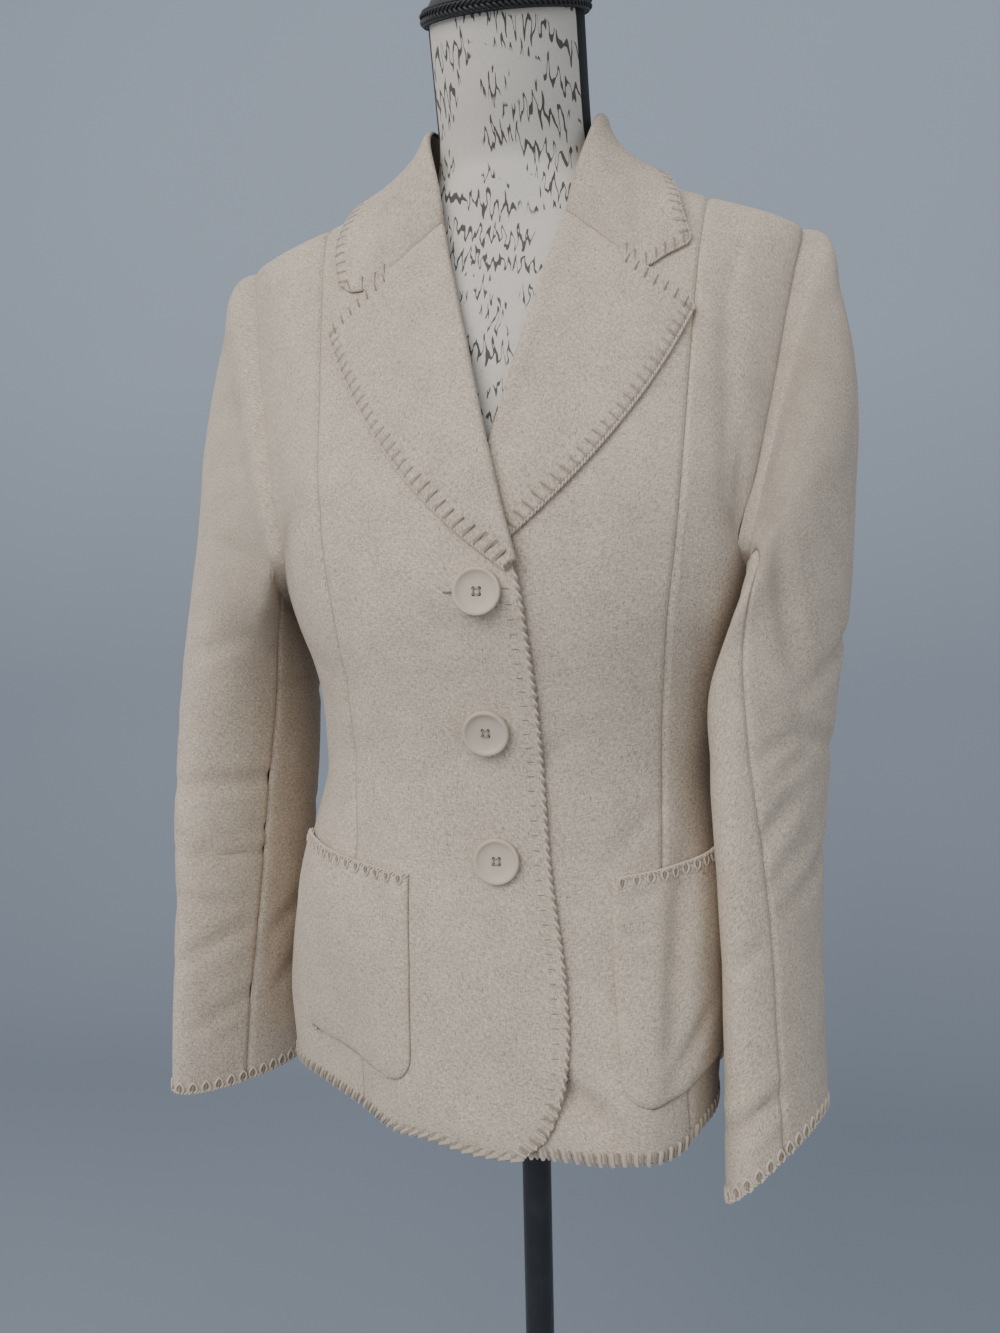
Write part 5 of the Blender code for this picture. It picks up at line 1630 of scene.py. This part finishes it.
class BLAZER_OT_stitching(bpy.types.Operator):
    """Hand stitches along the lapels, collar, front edge, hem, cuffs and pocket tops"""
    bl_idname = "blazer.stitching"
    bl_label = "Hand Stitching"

    def execute(self, context):
        thin = context.scene.blazer_cloth.wall
        faced = context.scene.blazer_cloth.faced_wall
        for side in SIDES:
            lapel = lapel_surface(side)
            top = part_of_edge(lapel, "last_row", 0.62, 1.0)
            stitch_edge(f"lapel_{side.name}", lapel, RIMS["lapel"], faced, (1.35, 0.85), [top])
            front = front_surface(side)
            edge = part_of_edge(front, "first_column", 0.0, (ROWS_BELOW_ARM + 0.9) / TOP_ROW)
            stitch_front_edge(side, edge)
            corner = part_of_edge(front, "first_column", 0.0, 0.06)
            hems = [part_of_edge(surface, "first_row")
                    for surface in (front, side_front_surface(side), back_surface(side))]
            whip_hem(side, [*hems, corner], thin)
            cuffs = [part_of_edge(sleeve_surface(side, name), "last_row")
                     for name in ("top_sleeve", "under_sleeve")]
            point_edge(f"cuff_{side.name}", cuffs, RIMS["sleeve"], 0.0031, 0.0008)
            top = part_of_edge(pocket_surface(side), "last_row")
            point_edge(f"pocket_{side.name}", [top], RIMS["pocket"], 0.0024, 0.0010)
        thread_piece("buttonhole_end", buttonhole_end(), 0.0007, thread_material("dark"))
        collar = collar_surface()
        ends = [part_of_edge(collar, name, 0.62, 1.0) for name in ("first_column", "last_column")]
        stitch_edge("collar", collar, RIMS["collar"], faced, (1.0, 1.0), ends)
        return {"FINISHED"}


def buttonhole_end():
    """The end of the top buttonhole, which shows beside its button, in darker thread as painted shade of the
    slit.
    """
    z = BUTTONS[0].z
    places = [(0.0190, -0.0004), (0.0200, 0.0002), (0.0235, 0.0002), (0.0245, -0.0004)]
    return [[front_point(RIGHT, x, z, lift) for x, lift in places]]


def stitch_edge(name, surface, rim, wall, lengths, more_edges):
    """Blanket stitches of a lapel or collar as furrows of darker thread, painted shade of the grooves they
    pull, and a cord along the edge.
    """
    look = bpy.context.scene.blazer_stitches
    main = part_of_edge(surface, rim.edge)
    furrows = blanket_stitches(main, rim, wall, lengths)
    cords = twisted_cord(main, 0.0006, wall=wall)
    for edge in more_edges:
        furrows += blanket_stitches(edge, rim, wall, (1.0, 1.25))
        cords += twisted_cord(edge, 0.0006, wall=wall)
    thread_piece(f"{name}_stitches", furrows, look.radius * 1.15, thread_material("dark"))
    thread_piece(f"{name}_cord", cords, look.radius * 1.5, thread_material("light"))


def stitch_front_edge(side, edge):
    """A twisted cord on the front edge and short stitches sunk beside it. The cord's second strand and the
    stitches are in darker thread: a painted shadow beside the edge and painted shade of the stitches' dents.
    """
    look = bpy.context.scene.blazer_stitches
    cord = twisted_cord(edge, 0.0008, FRONT_CORD_PITCH)
    thread_piece(f"front_edge_cord_{side.name}_light", cord[:1], look.radius * 2.1, thread_material("light"))
    thread_piece(f"front_edge_cord_{side.name}_dark", cord[1:], look.radius * 1.5, thread_material("dark"))
    ticks = front_ticks(edge, look.tick_pitch, 0.0048, 0.0090, 0.030, 0.006)
    thread_piece(f"front_ticks_{side.name}", ticks, look.radius * 0.9, thread_material("dark"))


def whip_hem(side, edges, wall):
    """Fat slanting stitches that wrap the hem and scallop its outline."""
    look = bpy.context.scene.blazer_stitches
    between = HEM_RIM._replace(start=HEM_RIM.pitch / 2, end=-HEM_RIM.pitch / 2)
    whip = [strand for edge in edges for strand in whip_stitches(edge, HEM_RIM, look.hem_lean, wall)]
    gaps = [strand for edge in edges for strand in whip_stitches(edge, between, look.hem_lean, wall)]
    # The darker strands between the stitches are painted shade of the gaps.
    thread_piece(f"hem_gaps_{side.name}", gaps, look.radius * 2.2, thread_material("dark"))
    thread_piece(f"hem_stitches_{side.name}", whip, look.radius * 3.6, thread_material("soft"))


def point_edge(name, edges, rim, half_width, cord_radius):
    """Leaf-shaped loops of thick thread, each with a middle of darker thread that paints the shade inside the
    leaf, under a cord along the edge.
    """
    look = bpy.context.scene.blazer_stitches
    loops, middle_shade, cords = [], [], []
    for edge in edges:
        loops += leaf_stitches(edge, rim, half_width)
        middle_shade += blanket_stitches(edge, rim, 0.0012, (0.8, 0.8))
        cords += twisted_cord(edge, cord_radius)
    thread_piece(f"{name}_stitches", loops, look.radius * 1.8, thread_material("light"))
    thread_piece(f"{name}_stitch_middles", middle_shade, look.radius * 2.2, thread_material("dark"))
    thread_piece(f"{name}_cord", cords, look.radius * 1.8, thread_material("light"))


# The corners of a button's square of sewing holes.
HOLES = ((-1, -1), (1, -1), (1, 1), (-1, 1))


class BLAZER_OT_buttons(bpy.types.Operator):
    """Four-hole buttons with a raised rim, and the threads that hold them"""
    bl_idname = "blazer.buttons"
    bl_label = "Buttons"

    def execute(self, context):
        look = context.scene.blazer_buttons
        for button in BUTTONS:
            seat, turn = button_place(button)
            build_button(button.name, seat, turn, look)
            half = look.hole_pitch / 2
            high = BUTTON_THICK * 0.62
            strands = []
            for first, second in zip(HOLES, HOLES[1:] + HOLES[:1]):
                rises = (-0.4, 0.95, 1.18)
                path = [(first, rise) for rise in rises] + [(second, rise) for rise in reversed(rises)]
                strands.append([seat + turn @ Vector((x * half, y * half, high * rise))
                                for (x, y), rise in path])
            # The threads are real; their darker thread colour is painted shade of the holes.
            thread_piece(f"{button.name}_thread", strands, 0.00036, thread_material("dark"))
        return {"FINISHED"}


def button_place(button):
    """Seat of a button on the cloth and the rotation that lays it flat there."""
    x, z = -button.x, button.z
    face = front_point(RIGHT, x, z)
    normal = (front_point(RIGHT, x, z, 0.001) - face).normalized()
    return face + normal * 0.0009, normal.to_track_quat("Z", "Y").to_matrix()


def build_button(name, seat, turn, look):
    """Turned disc with a dished face, its four holes cut through."""
    radius, deep, rim = BUTTON_RADIUS, BUTTON_THICK, look.rim
    # Distances inside the edge in rim widths and heights in thicknesses, from the face around to the back.
    outline = ((1.55, 0.62), (1.10, 0.80), (0.80, 0.95), (0.45, 1.0), (0.15, 0.93), (0.0, 0.74), (0.0, 0.34),
               (0.30, 0.06), (0.8, 0.0))
    rim_part = [(radius - rim * inside, up) for inside, up in outline]
    profile = [(0.0, 0.52), (0.45 * radius, 0.54), *rim_part, (0.0, 0.0)]
    editor = turned([(out, deep * up) for out, up in profile], 72)
    close_shell(editor)
    disc = new_piece(f"{name}_disc", editor, button_material())
    holes = bmesh.new()
    for across, up in HOLES:
        made = bmesh.ops.create_cone(holes, cap_ends=True, segments=20, depth=4 * deep,
                                     radius1=look.hole_radius, radius2=look.hole_radius)
        offset = Vector((across, up, 0.0)) * look.hole_pitch / 2
        bmesh.ops.translate(holes, verts=made["verts"], vec=offset)
    cutter = mesh_object("hole_cutter", holes)
    cut = disc.modifiers.new("holes", "BOOLEAN")
    cut.object = cutter
    cut.operation = "DIFFERENCE"
    mesh = finished_mesh(disc)
    disc.modifiers.clear()
    bpy.data.objects.remove(cutter, do_unlink=True)
    mesh.transform(Matrix.Translation(seat) @ turn.to_4x4())
    disc.data = mesh
    mesh.shade_smooth()
    mesh.set_sharp_from_angle(angle=math.radians(40.0))
    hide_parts(name)


class BLAZER_OT_dress_form(bpy.types.Operator):
    """Covered torso and neck, cap, braid, pole and base"""
    bl_idname = "blazer.dress_form"
    bl_label = "Dress Form"

    def execute(self, context):
        torso = new_piece("form_cover", form_editor(), cover_material())
        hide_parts("form_torso")
        build_neck_cap()
        for name in ("pole", "base"):
            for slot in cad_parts[name].material_slots:
                slot.material = stand_material()
        return {"FINISHED"}


# Share of the half turn at which the form's cover changes from linen to black, on the body and neck.
BODY_SPLIT, NECK_SPLIT = 0.56, 0.375


def form_curve(angle):
    """Line up the form's skin at an angle from the centre front, through its rings from below."""
    def ring_point(index):
        if index < len(TORSO_RINGS):
            ring = TORSO_RINGS[index]
            point = body_point(angle, ring.z, -ring.ease)
            point.y -= ring.throat * max(math.cos(angle), 0.0) ** 2
            if index == 0:
                point.z = TORSO_FLOOR_Z
            return point
        ring = NECK_RINGS[index - len(TORSO_RINGS)]
        depth, lean = -math.cos(angle) * ring.half_depth, math.radians(ring.lean)
        return Vector((math.sin(angle) * ring.half_width, ring.y + depth * math.cos(lean),
                       ring.z + depth * math.sin(lean)))

    return Curve([ring_point(index) for index in range(len(TORSO_RINGS) + len(NECK_RINGS))])


def form_editor():
    """The form's skin as a grid wrapped around it, closed below and at the neck."""
    last = len(TORSO_RINGS) + len(NECK_RINGS) - 1
    places = [i / 4 for i in range(4 * last + 1)]
    turns = 96
    editor = bmesh.new()
    bmesh.ops.create_grid(editor, x_segments=turns, y_segments=len(places) + 1, size=1.0)
    uv, turn_uv = editor.loops.layers.uv.new("cloth"), editor.loops.layers.uv.new("turn")
    curves = [form_curve(2 * math.pi * i / turns - math.pi) for i in range(turns + 1)]
    low = sum((curves[i].at(0) for i in range(turns)), Vector()) / turns
    high = sum((curves[i].at(last) for i in range(turns)), Vector()) / turns
    for vert in editor.verts:
        column = round((vert.co.x + 1) / 2 * turns)
        row = round((vert.co.y + 1) / 2 * (len(places) + 1))
        if 0 < row <= len(places):
            vert.co = curves[column].at(places[row - 1])
        else:
            vert.co = low if row == 0 else high
        angle = 2 * math.pi * column / turns - math.pi
        around = angle * (0.0535 if vert.co.z > 1.485 else 0.13)
        edge = mix(BODY_SPLIT, NECK_SPLIT, smooth_step(1.455, 1.500, vert.co.z))
        for loop in vert.link_loops:
            loop[uv].uv = (around, vert.co.z)
            loop[turn_uv].uv = (abs(angle) / math.pi - edge, vert.co.z)
    close_shell(editor)
    return editor


def build_neck_cap():
    """Black cap on the leaning neck."""
    lean = math.radians(NECK_TOP.lean)
    axis = Vector((0.0, -math.sin(lean), math.cos(lean)))
    seat = Vector((0.0, NECK_TOP.y, NECK_TOP.z)) + axis * 0.0004
    place = Matrix.Translation(seat) @ Matrix.Rotation(lean, 4, "X")
    steps = 14
    turns = [math.pi / 2 * i / steps for i in range(1, steps)]
    dome = [(CAP_RADIUS * math.cos(turn) ** 0.55, CAP_HEIGHT * math.sin(turn)) for turn in turns]
    editor = turned([(0.0, 0.0), (CAP_RADIUS, 0.0), *dome, (0.0, CAP_HEIGHT)], 96)
    bmesh.ops.transform(editor, matrix=place, verts=editor.verts)
    close_shell(editor)
    cap = new_piece("neck_cap_cloth", editor, black_trim_material())
    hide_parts("neck_cap")
    build_neck_braid(place)


def build_neck_braid(place):
    """Two rows of looped braid between three cords, around the cap's foot."""
    def ring_point(out, turn, rise):
        return place @ Vector((out * math.cos(turn), out * math.sin(turn), rise))

    strands = []
    loops = 92
    for row, lift in ((0, 0.0012), (1, 0.0046)):
        for i in range(loops):
            strand = []
            for step in range(7):
                swing = step / 6
                turn = 2 * math.pi * (i + (0.5 if row else 0.0) + 1.1 * swing) / loops
                bulge = math.sin(math.pi * swing)
                rise = lift + (0.0030 * swing if row else 0.0030 * (1 - swing)) - 0.0004
                strand.append(ring_point(CAP_RADIUS + 0.0012 + 0.0014 * bulge, turn, rise))
            strands.append(strand)
    for lift in (0.0004, 0.0042, 0.0082):
        strands.append([ring_point(CAP_RADIUS + 0.0010, 2 * math.pi * i / 120, lift) for i in range(121)])
    braid = thread_piece("neck_braid", strands, 0.0008, black_trim_material())
    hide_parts("neck_trim")


class BLAZER_OT_stage(bpy.types.Operator):
    """Floor and backdrop in one sweep, soft lights and the camera"""
    bl_idname = "blazer.stage"
    bl_label = "Stage"

    def execute(self, context):
        look = context.scene.blazer_stage
        build_backdrop(look)
        add_light("key light", (-1.05, -2.1, 2.65), (0.0, 0.0, 1.15), 1.9, look.key_power, (1.0, 0.972, 0.93))
        add_light("fill light", (1.9, -1.3, 1.6), (0.0, 0.0, 1.1), 1.6, look.fill_power, (0.94, 0.97, 1.0))
        world = bpy.data.worlds.new("room")
        context.scene.world = world
        world.use_nodes = True
        background = world.node_tree.nodes["Background"]
        background.inputs["Color"].default_value = (0.86, 0.92, 1.0, 1.0)
        background.inputs["Strength"].default_value = look.sky
        place_camera(look)
        return {"FINISHED"}


def build_backdrop(look):
    """One wide sheet: level floor, a quarter turn and the wall behind."""
    bend, wall_y, steps = 0.9, 2.4, 12
    rail = [(-3.2, 0.0), (wall_y - bend, 0.0)]
    for i in range(1, steps + 1):
        turn = math.pi / 2 * i / steps
        rail.append((wall_y - bend + bend * math.sin(turn), bend - bend * math.cos(turn)))
    rail.append((wall_y, 4.2))
    editor = bmesh.new()
    bmesh.ops.create_grid(editor, x_segments=1, y_segments=len(rail) - 1, size=1.0)
    for vert in editor.verts:
        y, z = rail[round((vert.co.y + 1) / 2 * (len(rail) - 1))]
        vert.co = (vert.co.x * 5.0, y, z)
    bmesh.ops.recalc_face_normals(editor, faces=editor.faces)
    material, n, shader = principled("backdrop with painted light")
    place = n.place()
    # Painted light: the colour is darker on the floor and lighter up the wall, with a random mottle on top.
    cloud = n.math("MULTIPLY_ADD", n.noise(place, 0.9, 3.0), 0.2,
                   n.map_range(n.split(place)[2], 0.0, 1.9, 0.0, 0.8, smooth=False))
    tint = n.mix_colour(cloud, rgba(look.backdrop, 0.80), rgba(look.backdrop, 1.38))
    n.fill(shader, Base_Color=tint, Roughness=0.9, Specular_IOR_Level=0.1)
    mesh_object("backdrop", editor, material)


def add_light(name, place, aim, size, power, colour):
    lamp = bpy.data.lights.new(name, "AREA")
    lamp.size = size
    lamp.energy = power
    lamp.color = colour
    light = new_object(name, lamp)
    light.location = place
    light.rotation_euler = (Vector(aim) - Vector(place)).to_track_quat("-Z", "Y").to_euler()


def place_camera(look):
    """Camera from its place and its pan, pitch and roll."""
    lens = bpy.data.cameras.new("camera")
    lens.sensor_fit = "VERTICAL"
    lens.sensor_height = 36.0
    lens.lens = look.lens
    lens.clip_start = 0.02
    forward = Vector((-math.sin(look.pan) * math.cos(look.pitch), math.cos(look.pan) * math.cos(look.pitch),
                      -math.sin(look.pitch)))
    level = Vector((math.cos(look.pan), math.sin(look.pan), 0.0))
    upright = level.cross(forward)
    across = level * math.cos(look.roll) + upright * math.sin(look.roll)
    up = upright * math.cos(look.roll) - level * math.sin(look.roll)
    camera = new_object("camera", lens)
    camera.matrix_world = Matrix.Translation(look.eye) @ Matrix((across, up, -forward)).transposed().to_4x4()
    bpy.context.scene.camera = camera


# ---- panel and registration
SETTINGS = (("blazer_cloth", BlazerCloth), ("blazer_stitches", BlazerStitches),
            ("blazer_buttons", BlazerButtons), ("blazer_form", BlazerForm), ("blazer_stage", BlazerStage))
OPERATORS = (BLAZER_OT_stage, BLAZER_OT_dress_form, BLAZER_OT_panels, BLAZER_OT_lapels, BLAZER_OT_collar,
             BLAZER_OT_pockets, BLAZER_OT_sleeves, BLAZER_OT_buttons, BLAZER_OT_stitching)


class BLAZER_PT_build(bpy.types.Panel):
    """Lists the blazer's pieces and their settings"""
    bl_idname = "BLAZER_PT_build"
    bl_label = "Blazer"
    bl_space_type = "VIEW_3D"
    bl_region_type = "UI"
    bl_category = "Blazer"

    def draw(self, context):
        for operator in OPERATORS:
            self.layout.operator(operator.bl_idname)
        for name, settings in SETTINGS:
            box = self.layout.box()
            for field in settings.__annotations__:
                box.prop(getattr(context.scene, name), field)


def register():
    for name, settings in SETTINGS:
        bpy.utils.register_class(settings)
        setattr(bpy.types.Scene, name, bpy.props.PointerProperty(type=settings))
    for operator in OPERATORS:
        bpy.utils.register_class(operator)
    bpy.utils.register_class(BLAZER_PT_build)


def unregister():
    bpy.utils.unregister_class(BLAZER_PT_build)
    for operator in reversed(OPERATORS):
        bpy.utils.unregister_class(operator)
    for name, settings in reversed(SETTINGS):
        delattr(bpy.types.Scene, name)
        bpy.utils.unregister_class(settings)


def main():
    register()
    bpy.ops.blazer.stage()
    bpy.ops.blazer.dress_form()
    bpy.ops.blazer.panels()
    bpy.ops.blazer.lapels()
    bpy.ops.blazer.collar()
    bpy.ops.blazer.pockets()
    bpy.ops.blazer.sleeves()
    bpy.ops.blazer.buttons()
    bpy.ops.blazer.stitching()
    bpy.context.view_layer.update()


if __name__ == "__main__":
    main()
